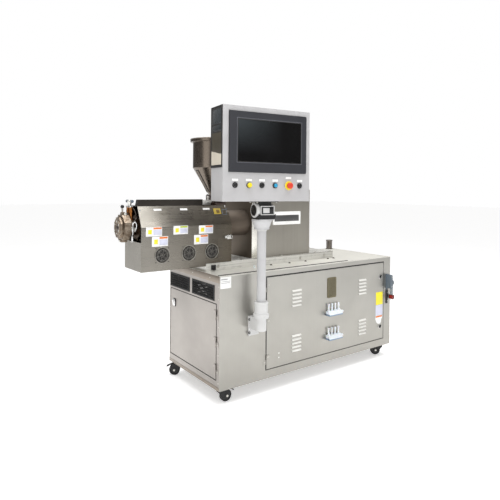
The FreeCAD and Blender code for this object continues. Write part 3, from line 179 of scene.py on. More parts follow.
def brushed(name, color, rough, grain, cloud, streak, metallic=1.0, heat=None, foot=0.0):
    """Brushed stainless sheet: long grain, clouds, smudges and worn edges.

    heat is a stretch of X over which it browns as painted shade, and foot is how much painted shade darkens it towards
    its foot.
    """
    s = Shader(name)
    fine = s.noise(s.stretched(*GRAIN[grain]), 1.0, 4.0, 0.62)
    patch = s.noise(s.place, 2.3, 3.0, 0.5, 0.4)
    smudge = s.noise(s.place, 11.0, 5.0, 0.6, 0.8)
    base = s.mix(s.ramp(patch, 0.0, 1.0), tint(color, 1.0 - cloud), tint(color, 1.0 + cloud))
    base = s.mix(s.ramp(fine, 0.0, 1.0), s.mix(streak, base, (0.0, 0.0, 0.0, 1.0)), base)
    # Painted shade: over the stretch of X given, the sheet browns towards +X.
    if heat is not None:
        along = s.math("ADD", s.axis("X"), s.ramp(patch, -0.05, 0.05))
        base = s.mix(s.ramp(along, 0.0, 0.85, *heat), base, rgb(76, 67, 52))
    # Painted shade: the sheet darkens towards its foot by the share given, fading out by 0.78 m up.
    if foot > 0.0:
        base = s.mix(s.ramp(s.axis("Z"), foot, 0.0, 0.15, 0.78), base, rgb(84, 78, 68))
    normal, near = s.soft_edges(0.0015)
    s.set("Base Color", s.mix(s.math("MULTIPLY", near, 0.45), base, tint(color, 1.35)))
    roughness = s.math("ADD", s.ramp(fine, rough - 0.05, rough + 0.06), s.ramp(smudge, -0.03, 0.05))
    s.set("Roughness", s.math("SUBTRACT", roughness, s.math("MULTIPLY", near, 0.08)))
    s.set("Metallic", metallic)
    s.set("Normal", s.bump(fine, 0.000012 * metallic ** 2, normal, 0.5))
    return s.material


def painted(name, color, rough, texture=0.00004, scale=900.0, coat=0.0, worn=0.18):
    """Powder coat or enamel: fine orange peel, faint dusting in patches and lighter rubbed edges."""
    s = Shader(name)
    peel = s.noise(s.place, scale, 3.0, 0.5)
    dust_and_glare = s.noise(s.place, 7.0, 6.0, 0.62, 0.6)
    base = s.mix(s.ramp(dust_and_glare, 0.0, 1.0), tint(color, 0.93), tint(color, 1.06))
    base = s.mix(s.ramp(peel, 0.0, 0.12), base, tint(color, 0.7))
    normal, near = s.soft_edges(0.0012)
    s.set("Base Color", s.mix(s.math("MULTIPLY", near, worn), base, (0.62, 0.60, 0.57, 1.0)))
    s.set("Roughness", s.math("ADD", s.ramp(dust_and_glare, rough - 0.05, rough + 0.08), s.ramp(peel, -0.02, 0.03)))
    s.set("Coat Weight", coat)
    s.set("Coat Roughness", 0.12)
    s.set("Normal", s.bump(peel, texture, normal, 0.6))
    return s.material


def moulded(name, color, rough, subsurface=0.0):
    """Moulded plastic: fine spark texture and slight tone changes."""
    s = Shader(name)
    spark = s.noise(s.place, 1500.0, 2.0, 0.5)
    tone = s.noise(s.place, 16.0, 4.0, 0.55)
    normal, near = s.soft_edges(0.0008)
    base = s.mix(s.ramp(tone, 0.0, 1.0), tint(color, 0.94), tint(color, 1.05))
    s.set("Base Color", s.mix(s.math("MULTIPLY", near, 0.12), base, tint(color, 1.5)))
    s.set("Roughness", s.math("ADD", s.ramp(tone, rough - 0.04, rough + 0.05), s.ramp(spark, -0.02, 0.02)))
    s.set("Subsurface Weight", subsurface)
    s.set("Normal", s.bump(spark, 0.00001, normal, 0.4))
    return s.material


def rubber(name, color):
    """Matt rubber with scuffs and a dusting."""
    s = Shader(name)
    scuff = s.noise(s.stretched(1.0, 1.0, 4.0), 60.0, 5.0, 0.65, 0.7)
    dust_and_glare = s.noise(s.place, 24.0, 4.0, 0.6)
    normal, near = s.soft_edges(0.001)
    base = s.mix(s.ramp(dust_and_glare, 0.0, 1.0), color, tint(color, 2.2))
    s.set("Base Color", s.mix(s.math("MULTIPLY", near, 0.35), base, rgb(96, 92, 88)))
    s.set("Roughness", s.ramp(scuff, 0.55, 0.82))
    s.set("Normal", s.bump(scuff, 0.0002, normal, 0.5))
    return s.material


def machined(name, color, rough, stain=None, stain_share=0.3):
    """Turned or milled metal with tool marks and, where given, heating stains in patches."""
    s = Shader(name)
    marks = s.noise(s.stretched(700.0, 40.0, 40.0), 1.0, 3.0, 0.55)
    patch = s.noise(s.place, 34.0, 5.0, 0.6, 0.9)
    normal, near = s.soft_edges(0.0009)
    base = s.mix(s.ramp(marks, 0.0, 1.0), tint(color, 0.88), tint(color, 1.08))
    if stain is not None:
        base = s.mix(s.ramp(patch, 0.0, stain_share * 2.0, 0.42, 0.62), base, rgb(*stain))
    s.set("Base Color", s.mix(s.math("MULTIPLY", near, 0.5), base, tint(color, 1.5)))
    s.set("Roughness", s.math("ADD", s.ramp(marks, rough - 0.06, rough + 0.06), s.ramp(patch, -0.02, 0.1)))
    s.set("Metallic", 1.0)
    s.set("Normal", s.bump(marks, 0.00003, normal, 0.5))
    return s.material


def screen_glass(name):
    """Dark display: near-black panel under smooth glass, with a painted reflection greying it towards its top left."""
    s = Shader(name)
    haze = s.noise(s.place, 5.0, 4.0, 0.6)
    # Painted reflection: the screen turns lighter grey towards its top left.
    upper = s.ramp(s.axis("Z"), 0.0, 1.0, 1.62, 1.84)
    dust_and_glare = s.math("MULTIPLY", upper, s.ramp(s.axis("X"), 1.0, 0.0, LEFT, LEFT + 0.34))
    base = s.mix(s.ramp(haze, 0.0, 1.0), rgb(4, 4, 5), rgb(8, 8, 9))
    s.set("Base Color", s.mix(dust_and_glare, base, rgb(58, 63, 66)))
    s.set("Roughness", s.ramp(haze, 0.10, 0.2))
    s.set("Specular IOR Level", 0.3)
    s.set("Coat Weight", 0.4)
    s.set("Coat Roughness", 0.03)
    return s.material


MATERIALS = {"screen": screen_glass("screen")}


def stock(make, rows):
    """Make a material of one kind for each row: its colour, the kind's values in order, and last any by name."""
    for name, (color, *values) in rows.items():
        named = values.pop() if isinstance(values[-1], dict) else {}
        MATERIALS[name] = make(name, rgb(*color), *values, **named)


stock(brushed, {
    # The foot shares darken the cabinet sheets towards the floor as painted shade.
    "cabinet_front": [(186, 184, 178), 0.38, "z", 0.07, 0.07, {"foot": 0.34}],
    "cabinet_end": [(170, 165, 160), 0.34, "z", 0.12, 0.08, {"foot": 0.1}],
    "deck": [(216, 214, 206), 0.34, "x", 0.06, 0.05, {"metallic": 0.25}],
    # The channel and cover brown towards +X over the spans given, as painted shade.
    "channel": [(238, 237, 231), 0.28, "x", 0.12, 0.12, {"metallic": 0.15, "heat": (LEFT + 0.25, LEFT + 2.9)}],
    "cover": [(152, 148, 140), 0.28, "x", 0.13, 0.12, {"heat": (LEFT - 0.42, LEFT + 0.26)}],
    "cap": [(74, 70, 66), 0.30, "x", 0.12, 0.12],
    "gearbox": [(162, 158, 149), 0.34, "z", 0.10, 0.10],
    # Painted shade: dark brown copy of the gearbox steel for its shaded, darkly reflecting left side.
    "gear_side": [(108, 98, 86), 0.46, "z", 0.22, 0.12, {"metallic": 0.7}],
    # Painted highlight: near-white for the bright strip on the gearbox front's left corner.
    "gear_edge": [(226, 224, 216), 0.26, "z", 0.05, 0.06],
    "hopper": [(118, 109, 100), 0.24, "z", 0.10, 0.08],
    "frame": [(150, 146, 140), 0.45, "x", 0.10, 0.12],
    "flange": [(150, 141, 131), 0.36, "y", 0.08, 0.1],
    # Painted shade: the feed section is a dark brown copy of the gearbox steel, as it looks in shade.
    "neck": [(112, 101, 90), 0.62, "x", 0.16, 0.12, {"metallic": 0.7}],
})
stock(machined, {
    "zinc": [(205, 203, 196), 0.30],
    "chrome": [(225, 225, 225), 0.12],
    "die": [(158, 145, 130), 0.36, (96, 80, 64), 0.4],
    "barrel": [(120, 100, 84), 0.40, (66, 48, 38), 0.5],
    "bronze": [(170, 112, 60), 0.30, (96, 56, 30), 0.4],
    "bands": [(108, 92, 76), 0.42, (58, 44, 36), 0.5],
    "handle": [(214, 214, 210), 0.20],
    "post": [(118, 112, 106), 0.18],
    "guard_rim": [(176, 174, 168), 0.3],
    "braid": [(120, 112, 104), 0.45],
})
stock(painted, {
    "plate": [(214, 212, 206), 0.35],
    "arm": [(192, 192, 193), 0.38, {"coat": 0.3}],
    "bracket": [(206, 206, 205), 0.36, {"coat": 0.3}],
    "panel": [(184, 183, 184), 0.42, {"worn": 0.3}],
    # Painted reflection: beige for the low zone on the panel's side.
    "panel_beige": [(206, 198, 182), 0.42],
    "bezel": [(38, 39, 45), 0.46],
    # Painted highlight: lighter grey for a glint on the display bezel's edge.
    "bezel_edge": [(84, 86, 94), 0.35],
    "black": [(28, 27, 27), 0.42],
    "mesh": [(112, 104, 76), 0.45],
    # Painted reflection: olive for the middle zone on the panel's side.
    "side_mesh": [(70, 64, 50), 0.4],
    "cast": [(96, 107, 117), 0.42, 0.0002, 300.0],
    "motor": [(74, 92, 112), 0.4, 0.0001, 400.0],
    "throat": [(58, 42, 34), 0.28],
    # Painted highlight: near-white paint for the louvre lips and the throat gate's trim, which catch the light.
    "bright_edge": [(238, 237, 232), 0.3],
    "plate_band": [(66, 66, 66), 0.4],
    "guard": [(98, 95, 90), 0.4],
    "sight": [(52, 48, 44), 0.25],
    "lever": [(168, 178, 186), 0.4],
})
stock(moulded, {
    "black_plastic": [(24, 24, 25), 0.34],
    "white_plastic": [(232, 236, 240), 0.30, 0.1],
    "yellow_plastic": [(236, 214, 40), 0.3],
    "blue_plastic": [(44, 156, 200), 0.3],
    "red_plastic": [(214, 64, 40), 0.3],
    "grip_red": [(150, 34, 30), 0.4],
    "grille": [(7, 7, 7), 0.6],
    # Painted shade: blue-grey for the shaded underside of the flow banks.
    "bank_blue": [(126, 146, 170), 0.35],
    "pellets": [(222, 222, 214), 0.45],
    "duct": [(150, 152, 154), 0.5],
    "label_white": [(240, 240, 238), 0.5],
    "label_grey": [(150, 150, 152), 0.5],
    "label_brown": [(112, 88, 40), 0.5],
    # Painted shade: a yellow tag's colour darkened as in shade.
    "label_ochre": [(186, 160, 62), 0.5],
    "label_yellow": [(240, 226, 52), 0.5],
    "label_lilac": [(206, 208, 226), 0.5],
    "label_orange": [(222, 118, 48), 0.5],
    "label_green": [(176, 196, 40), 0.5],
})
MATERIALS["rubber"] = rubber("rubber", rgb(24, 24, 25))
MATERIALS["gasket"] = rubber("gasket", rgb(20, 20, 20))

FINISHES = {
    "cabinet_front": "front_skin front_door",
    "cabinet_end": "end_skin end_door rear_skins",
    "deck": "deck_plate",
    "channel": "base_channel",
    "cover": "barrel_cover",
    "cap": "cover_cap",
    "gearbox": "gearbox_housing",
    "neck": "feed_section",
    "throat": "feed_throat",
    "post": "chrome_post",
    "hopper": "hopper hopper_sight",
    "frame": "cabinet_frame floor_pan",
    "plate": "gearbox_plate control_plate",
    "barrel": "barrel screw",
    "bands": "heater_bands",
    "die": "die_clamp die_head",
    "bronze": "melt_probes",
    "bright_edge": "throat_gate",
    "black": "cooling_fans disconnect_handle panel_bracket",
    "grille": "vent_grilles",
    "guard": "fan_guards",
    "zinc": "caster_plates front_latch_upper front_latch_lower",
    "chrome": "end_latch",
    "arm": "arm_post arm_head",
    "bracket": "arm_bracket",
    "panel": "panel_case",
    "bezel": "panel_bezel",
    "screen": "panel_screen",
    "black_plastic": "push_button_1 push_button_3 push_button_5",
    "yellow_plastic": "push_button_2",
    "blue_plastic": "push_button_4",
    "red_plastic": "stop_button",
    "cast": "disconnect_body",
    "motor": "drive_motor",
    "mesh": "mesh_plate",
    "white_plastic": "flow_bank_upper flow_bank_lower",
    "rubber": "caster_wheel_fl caster_wheel_fr caster_wheel_rl caster_wheel_rr "
              "caster_fork_fl caster_fork_fr caster_fork_rl caster_fork_rr",
}


def finish_nodes():
    """Give every CAD node its material."""
    left_out = set(NODES)
    for key, names in FINISHES.items():
        for name in names.split():
            slots = NODES[name].data.materials
            slots.clear()
            slots.append(MATERIALS[key])
            left_out.discard(name)
    if left_out:
        raise SystemExit("nodes with no finish: " + ", ".join(sorted(left_out)))


finish_nodes()


# ---- pieces ----
MACHINE = Matrix.Translation((LEFT, FRONT, 0.0)) @ Matrix.Scale(MM, 4)
ARM_X, ARM_Y, PANEL_YAW = 266.0, -90.0, -8.0
PANEL = MACHINE @ Matrix.Translation((ARM_X, ARM_Y, 0.0)) @ Matrix.Rotation(math.radians(PANEL_YAW), 4, "Z")
SLANT = MACHINE @ Matrix.Translation((0.0, 200.0, 1156.0)) @ Matrix.Rotation(-math.atan2(66.0, 131.0), 4, "X")
AXES = {"x": Vector((1, 0, 0)), "y": Vector((0, 1, 0)), "z": Vector((0, 0, 1))}
CREASE = math.radians(35.0)           # edges sharper than this are drawn as edges
REAR, DECK_TOP, CHANNEL_TOP = 700, 840, 895
COVER_FRONT = 200.0
BARREL_Y, BARREL_Z = 350.0, 1152.0
PROBE_X = -467
HOPPER = 183, 350
FAN_X, FAN_Z = (-307.0, -116.0, 61.0), 977
SCREWS = {                                # radius, radius and height of the top's rim, full height, sides
    "hinge": (3.2, 2.6, 0.9, 1.1, 16), "skin": (4.0, 3.4, 1.5, 2.0, 16), "deck": (4.6, 3.8, 1.8, 2.4, 20),
    "mesh": (2.6, 2.0, 1.0, 1.2, 12), "cover": (4.4, 3.6, 1.7, 2.2, 18), "fan": (3.4, 2.8, 1.4, 1.8, 12),
    "rivet": (2.8, 2.2, 1.3, 1.7, 14), "bar": (3.4, 2.8, 1.5, 1.9, 16), "case": (4.2, 3.4, 1.6, 2.1, 16),
}


def around(count, start=0.0, closed=False):
    """Cosine and sine of evenly spaced angles, the first at start in degrees; closed comes back to the first."""
    angles = [math.radians(start + 360.0 * k / count) for k in range(count + closed)]
    return [(math.cos(a), math.sin(a)) for a in angles]


def steps(start, stop, step):
    """Numbers from start, a step apart, that stay under stop."""
    while start < stop:
        yield start
        start += step


def turned(matrix, place, degrees, axis):
    """A frame moved to a place and turned about one of its axes."""
    return matrix @ Matrix.Translation(place) @ Matrix.Rotation(math.radians(degrees), 4, axis)


class Piece:
    """One mesh of simple shapes in millimetres of a frame, with one finish, riding one body."""

    def __init__(self, name, finish, slot, body="machine", frame_matrix=MACHINE):
        self.name, self.finish, self.slot, self.body, self.frame = name, finish, slot, body, frame_matrix
        self.bm = bmesh.new()
        self.local = Matrix.Identity(4)

    def inside(self, matrix):
        """Draw the next shapes in a frame of their own within the piece's frame."""
        self.local = matrix
        return self

    def add(self, shape, bevel=0.0):
        """Round a shape's edges, place it and join it to the piece."""
        if bevel > 0.0:
            edges = [e for e in shape.edges if e.calc_face_angle(0.0) > 0.5]
            bmesh.ops.bevel(shape, geom=edges, offset=bevel, segments=2, affect="EDGES", profile=0.5,
                            clamp_overlap=True)
        bmesh.ops.recalc_face_normals(shape, faces=shape.faces)
        shape.transform(self.local)
        data = bpy.data.meshes.new("shape")
        shape.to_mesh(data)
        shape.free()
        self.bm.from_mesh(data)
        bpy.data.meshes.remove(data)
        return self

    def block(self, x0, y0, z0, x1, y1, z1, bevel=0.6):
        """Box between two corners."""
        shape = bmesh.new()
        for v in bmesh.ops.create_cube(shape, size=1.0)["verts"]:
            v.co = Vector((x0 + (v.co.x + 0.5) * (x1 - x0), y0 + (v.co.y + 0.5) * (y1 - y0),
                           z0 + (v.co.z + 0.5) * (z1 - z0)))
        return self.add(shape, bevel)

    def rod(self, start, end, r, sides=24, bevel=0.5):
        """Round bar from one point to another."""
        a, b = Vector(start), Vector(end)
        turn = (b - a).to_track_quat("Z", "Y").to_matrix().to_4x4()
        shape = bmesh.new()
        bmesh.ops.create_cone(shape, cap_ends=True, segments=sides, radius1=r, radius2=r, depth=(b - a).length,
                              matrix=Matrix.Translation((a + b) / 2) @ turn)
        return self.add(shape, bevel)

    def hexagon(self, place, axis, across, height):
        """Hexagon head or nut standing on a point."""
        place = Vector(place)
        top = place + AXES[axis[-1]] * (-height if axis[0] == "-" else height)
        return self.rod(place, top, across / math.sqrt(3), 6, 0.6)

    def bolt(self, place, axis, across, height):
        """Hexagon head on a round washer."""
        place = Vector(place)
        washer_top = place + AXES[axis[-1]] * (-1.6 if axis[0] == "-" else 1.6)
        self.rod(place, washer_top, across * 0.85, 24, 0.3)
        return self.hexagon(washer_top, axis, across, height)

    def bolts(self, axis, across, height, places):
        """One bolt at each place."""
        for place in places:
            self.bolt(place, axis, across, height)
        return self

    def screws(self, kind, axis, places):
        """One round-headed screw at each place."""
        r, r_top, edge, height, sides = SCREWS[kind]
        way = -1 if axis[0] == "-" else 1
        for place in places:
            self.lathe(place, axis[-1], [(0, 0), (r, 0), (r_top, way * edge), (0, way * height)], sides)
        return self

    def ring(self, place, axis, profile, sides):
        """Section of (radius, height) points, clear of the axis, turned about it."""
        return self.lathe(place, axis, profile + profile[:1], sides)

    def lathe(self, place, axis, profile, sides):
        """Profile of (radius, height) points turned about an axis through a point, capped where it ends."""
        along = AXES[axis]
        side = AXES["y"] if axis == "x" else AXES["x"]
        other = along.cross(side)
        rays = [side * c + other * s for c, s in around(sides)]
        rings = [[Vector(place) + along * h + ray * max(r, 0.01) for ray in rays] for r, h in profile]
        return self.skin(rings, profile[0] != profile[-1])

    def skin(self, rings, capped=True):
        """Surface through rings of points, closed at both ends where asked."""
        shape = bmesh.new()
        rows = [[shape.verts.new(p) for p in ring] for ring in rings]
        for low, high in zip(rows, rows[1:]):
            for k in range(len(low)):
                n = (k + 1) % len(low)
                shape.faces.new((low[k], low[n], high[n], high[k]))
        if capped:
            shape.faces.new(list(reversed(rows[0])))
            shape.faces.new(rows[-1])
        else:
            bmesh.ops.remove_doubles(shape, verts=shape.verts, dist=0.0005)
        return self.add(shape)

    def prism(self, points, along, bevel=0.0):
        """Polygon of points pushed along a vector."""
        shape = bmesh.new()
        low = [shape.verts.new(Vector(p)) for p in points]
        high = [shape.verts.new(Vector(p) + Vector(along)) for p in points]
        shape.faces.new(list(reversed(low)))
        shape.faces.new(high)
        for k in range(len(points)):
            n = (k + 1) % len(points)
            shape.faces.new((low[k], low[n], high[n], high[k]))
        return self.add(shape, bevel)

    def frame_ring(self, plane, outer, inner, d0, d1):
        """Flat rectangular frame: outer and inner are (a0, b0, a1, b1) in a plane, thick from d0 to d1."""
        a0, b0, a1, b1 = outer
        c0, e0, c1, e1 = inner
        for p0, q0, p1, q1 in ((a0, b0, a1, e0), (a0, e1, a1, b1), (a0, e0, c0, e1), (c1, e0, a1, e1)):
            if plane == "xz":
                self.block(p0, d0, q0, p1, d1, q1, 0.0)
            elif plane == "yz":
                self.block(d0, p0, q0, d1, p1, q1, 0.0)
            else:
                self.block(p0, q0, d0, p1, q1, d1, 0.0)
        return self

    def wire(self, points, r, sides=10, smooth=6):
        """Round wire or hose bent through points."""
        pts = [Vector(p) for p in points]
        path = []
        for i in range(len(pts) - 1):
            p0, p1, p2, p3 = pts[max(i - 1, 0)], pts[i], pts[i + 1], pts[min(i + 2, len(pts) - 1)]
            for k in range(smooth):
                t = k / smooth
                path.append(0.5 * ((2 * p1) + (p2 - p0) * t + (2 * p0 - 5 * p1 + 4 * p2 - p3) * t * t
                                   + (3 * p1 - p0 - 3 * p2 + p3) * t ** 3))
        path.append(pts[-1])
        rings, normal = [], None
        for i, p in enumerate(path):
            ahead = (path[min(i + 1, len(path) - 1)] - path[max(i - 1, 0)]).normalized()
            if normal is None:
                normal = ahead.orthogonal().normalized()
            normal = (normal - ahead * normal.dot(ahead)).normalized()
            other = ahead.cross(normal)
            rings.append([p + (normal * c + other * s) * r for c, s in around(sides)])
        return self.skin(rings)

    def done(self, stands_for=()):
        """Turn the shapes into an object and hang it on its body."""
        self.bm.transform(self.frame)
        data = bpy.data.meshes.new(self.name)
        self.bm.to_mesh(data)
        self.bm.free()
        data.materials.append(MATERIALS[self.finish])
        data.shade_smooth()
        made = bpy.data.objects.new(self.name, data)
        bpy.context.scene.collection.objects.link(made)
        sharp = data.attributes.new("sharp_edge", "BOOLEAN", "EDGE")
        shape = bmesh.new()
        shape.from_mesh(data)
        flags = [e.calc_face_angle(math.pi) > CREASE for e in shape.edges]
        shape.free()
        sharp.data.foreach_set("value", flags)
        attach(made, self.body)
        if stands_for:
            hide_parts(*stands_for)


# ---- doors and cabinet ----
def tag_pieces(prefix, slot, body, colors):
    return {c: Piece(prefix + "_" + c, "label_" + c, slot, body) for c in colors.split()}


def add_tags():
    """Blank tags on the front door and at the cabinet's corner."""
    tags = tag_pieces("door_tag", "steel_panel", "front_door", "white yellow lilac orange")
    tags["yellow"].block(1537, -0.6, 448, 1623, 0, 553, 0.2)
    tags["lilac"].block(1534, -0.5, 361, 1623, 0, 446, 0.2)
    outline = ((1536, 359), (1532, 330), (1545, 304), (1560, 292), (1584, 286), (1601, 296), (1606, 322),
               (1621, 340), (1622, 359))
    tags["white"].prism([(x, -0.5, z) for x, z in outline], (0, 0.5, 0))
    for z in (251, 221):
        tags["white"].block(491, -0.6, z, 501, 0, z + 7, 0.2)
    tags["orange"].block(1538, -0.7, 343, 1618, -0.4, 356, 0.1)
    for piece in tags.values():
        piece.done()
    Piece("corner_tag", "label_white", "steel_panel").block(5, -0.5, 759, 88, 0, 834, 0.2).done()
    line = Piece("corner_tag_line", "label_grey", "steel_panel")
    for z0, x1, z1 in ((815, 60, 821), (803, 80, 806), (793, 76, 796)):
        line.block(10, -0.7, z0, x1, -0.4, z1, 0.05)
    line.done()


def add_hinge_screws(door, axis, heights, fixed, moving):
    """Screws of a door's hinges: the fixed leaf's under each hinge's middle, the moving leaf's over it."""
    for part, body, columns, rise in (("hinge", "machine", fixed, -16), ("door", door + "_door", moving, 16)):
        spots = [(across, -2, z + rise) for z in heights for across in columns]
        if axis == "-x":
            spots = [(lift, across, z) for across, lift, z in spots]
        Piece("%s_%s_screws" % (door, part), "zinc", "steel_panel", body).screws("hinge", axis, spots).done()


def add_door_dress():
    """Hinge screws, gaskets, louvre lips, latch wings and the fine grille of the vent plate."""
    add_tags()
    add_hinge_screws("front", "-y", (230.0, 478.5, 727.0), (364.0, 374.0), (395.0, 405.0))
    add_hinge_screws("end", "-x", (235.0, 410.5, 586.0), (19.0, 29.0), (50.0, 60.0))
    seal = Piece("front_door_gasket", "gasket", "vent_black")
    seal.frame_ring("xz", (383.2, 160.2, 1631.8, 796.8), (385.6, 162.6, 1629.4, 794.4), 0.8, 2.9)
    seal.frame_ring("xz", (377.4, 157.0, 1634.0, 804.0), (382.6, 159.6, 1632.2, 797.4), -0.9, 0.0).done()
    seal = Piece("end_door_gasket", "gasket", "vent_black")
    seal.frame_ring("yz", (38.2, 165.2, 682.8, 655.8), (40.6, 167.6, 680.4, 653.4), 0.8, 2.9)
    seal.frame_ring("yz", (33.4, 161.6, 684.6, 658.6), (37.6, 164.6, 683.2, 656.4), -0.9, 0.0).done()
    # Painted highlight: the louvre lips are near-white where their hoods catch the light.
    lips = Piece("louvre_lips", "bright_edge", "steel_panel", "front_door")
    section = ((-0.2, 12.0), (-6.6, 2.2), (-6.6, -0.4), (-0.2, 9.6))
    for x, z, i in itertools.product((615.0, 1323.0), (562.0, 238.0), range(5)):
        foot = z + 27.0 * i
        lips.prism([(x, y, foot + rise) for y, rise in section], (88.0, 0, 0), 0.3)
    lips.done()

    for name, z in (("upper", 681.0), ("lower", 266.0)):
        node, frame_matrix = "front_latch_" + name, turned(MACHINE, (1586.0, 0.0, z), 30, "Y")
        wing = Piece("latch_wing_" + name, "black_plastic", "latch_black", node, frame_matrix)
        wing.block(-4.2, -12.6, -14.6, 4.2, -3.2, 14.6, 2.4)
        wing.lathe((0, 0, 0), "y", [(0, -3.2), (9.0, -3.2), (8.4, -5.4), (0, -5.6)], 28).done()
        rim = Piece("latch_rim_" + name, "chrome", "latch_black", node, frame_matrix)
        rim.ring((0, 0, 0), "y", [(13.5, -0.5), (17.6, -0.5), (17.2, -3.2), (15.4, -4.4), (13.5, -3.4)], 36).done()

    y, z = 623.0, 556.0                   # the end latch's middle
    # Painted shadow: a black plate just larger than the paddle stands for the shadow round it.
    latch_shadow = Piece("end_latch_shadow", "black_plastic", "latch_black", "end_latch")
    latch_shadow.block(-3.6, y - 19, z - 29, -0.4, y + 19, z + 29, 1.4).done()
    paddle = Piece("end_latch_paddle", "chrome", "latch_black", "end_latch")
    paddle.block(-7.6, y - 16, z - 26, -3.4, y + 16, z + 26, 1.8)
    section = ((-7.4, z - 20), (-10, z - 20), (-15, z + 8), (-14, z + 20), (-7.4, z + 20))
    paddle.prism([(x, y - 9, height) for x, height in section], (0, 18, 0), 1.2)
    paddle.rod((-0.3, y, z), (23.5, y, z), 8.6, 28)
    paddle.block(21, y - 10, z - 10, 24, y + 24, z + 10, 0.8).done(("end_latch",))

    grid = Piece("mesh_grid", "mesh", "mesh_olive", "front_door")
    for x in steps(978.0, 1055.0, 4.2):
        grid.block(x, -3.9, 588, x + 1.4, -2.9, 723, 0.0)
    for z in steps(590.0, 722.0, 4.2):
        grid.block(977, -4.3, z, 1055, -3.3, z + 1.4, 0.0)
    grid.frame_ring("xz", (971, 581, 1061, 730), (977, 588, 1055, 723), -4.6, -2.9)
    grid.screws("mesh", "-y", [(x, -4.6, z) for x in (975.5, 1056.5) for z in (585.5, 725.5)]).done()

    for name, z0 in (("upper", 450.0), ("lower", 268.0)):
        # Painted shade: blue-grey foot strip standing for the banks' shaded underside.
        foot = Piece("bank_foot_" + name, "bank_blue", "bank_white", "front_door")
        section = ((0, -0.8), (-45, -0.8), (-45, 7), (-42, 7), (-42, 1), (0, 1))
        foot.prism([(954, y, z0 + rise) for y, rise in section], (142, 0, 0))
        foot.block(953.4, -41, z0 + 2, 955.4, -2, z0 + 12, 0.3).done()
        trim = Piece("bank_trim_" + name, "white_plastic", "bank_white", "front_door")
        for i in range(4):
            x = 955 + (i + 0.5) * 35
            trim.lathe((x, -14, z0 + 32), "z", [(0, 0), (10.5, 0), (10.5, 5), (8.2, 8), (0, 8)], 24)
            trim.lathe((x, -14, z0 + 85), "z", [(0, -5), (7.6, -5), (7.6, 0), (5.4, 2.6), (0, 2.8)], 24)
            trim.rod((x, -33, z0 + 16), (x, -39.5, z0 + 15), 5.0, 20)
        trim.lathe((1107, -22, z0 + 16), "x", [(0, 0), (9.4, 0), (9.8, 2), (9.4, 8), (7.6, 9.4), (0, 9.6)], 24)
        trim.done()


def add_end_dress():
    """Left end: fine vent grids, folded flanges and screws; rear face: screws and cable glands."""
    grid = Piece("vent_grid", "grille", "vent_black")
    for y0, y1 in ((66.0, 355.0), (397.0, 685.0)):
        for y in steps(y0 + 12.0, y1 - 11.0, 6.4):
            grid.block(-2.6, y, 682, -1.4, y + 1.5, 764, 0.0)
        for z in steps(688.0, 762.0, 6.4):
            grid.block(-2.2, y0 + 9, z, -1.0, y1 - 9, z + 1.5, 0.0)
        grid.frame_ring("yz", (y0 - 2, 672, y1 + 2, 774), (y0 + 9, 683, y1 - 9, 763), -3.0, 0.0)
    grid.done()
    fold = Piece("end_flanges", "flange", "steel_panel")
    fold.block(-1.3, 1, 794, 0, 699, 839.6, 0.5).block(-1.3, 1, 100.4, 0, 699, 124, 0.5).done()
    end = Piece("end_screws", "zinc", "steel_panel")
    end.screws("skin", "-x", [(0, y, z) for z in (150.0, 330.0, 510.0, 690.0, 770.0) for y in (11, 692)])
    end.screws("skin", "-x", [(-1.3, y, 817) for y in (120.0, 350.0, 580.0)]).done()
    rear = Piece("rear_screws", "zinc", "steel_panel")
    columns = (30.0, 380.0, 730.0, 1080.0, 1430.0, 1690.0)
    rear.screws("skin", "y", [(x, REAR, z) for x in columns for z in (125.0, 815.0)])
    rear.screws("skin", "y", [(x, REAR, z) for z in (300.0, 470.0, 640.0) for x in (22.0, 1698.0)]).done()
    inlet = Piece("rear_glands", "black_plastic", "vent_black")
    for x in (1500.0, 1550.0, 1600.0):
        inlet.bolt((x, REAR, 300), "y", 30, 9)
        inlet.lathe((x, REAR + 10, 300), "y", [(0, 0), (12, 0), (11, 9), (7, 13), (0, 13)], 24)
    inlet.done()


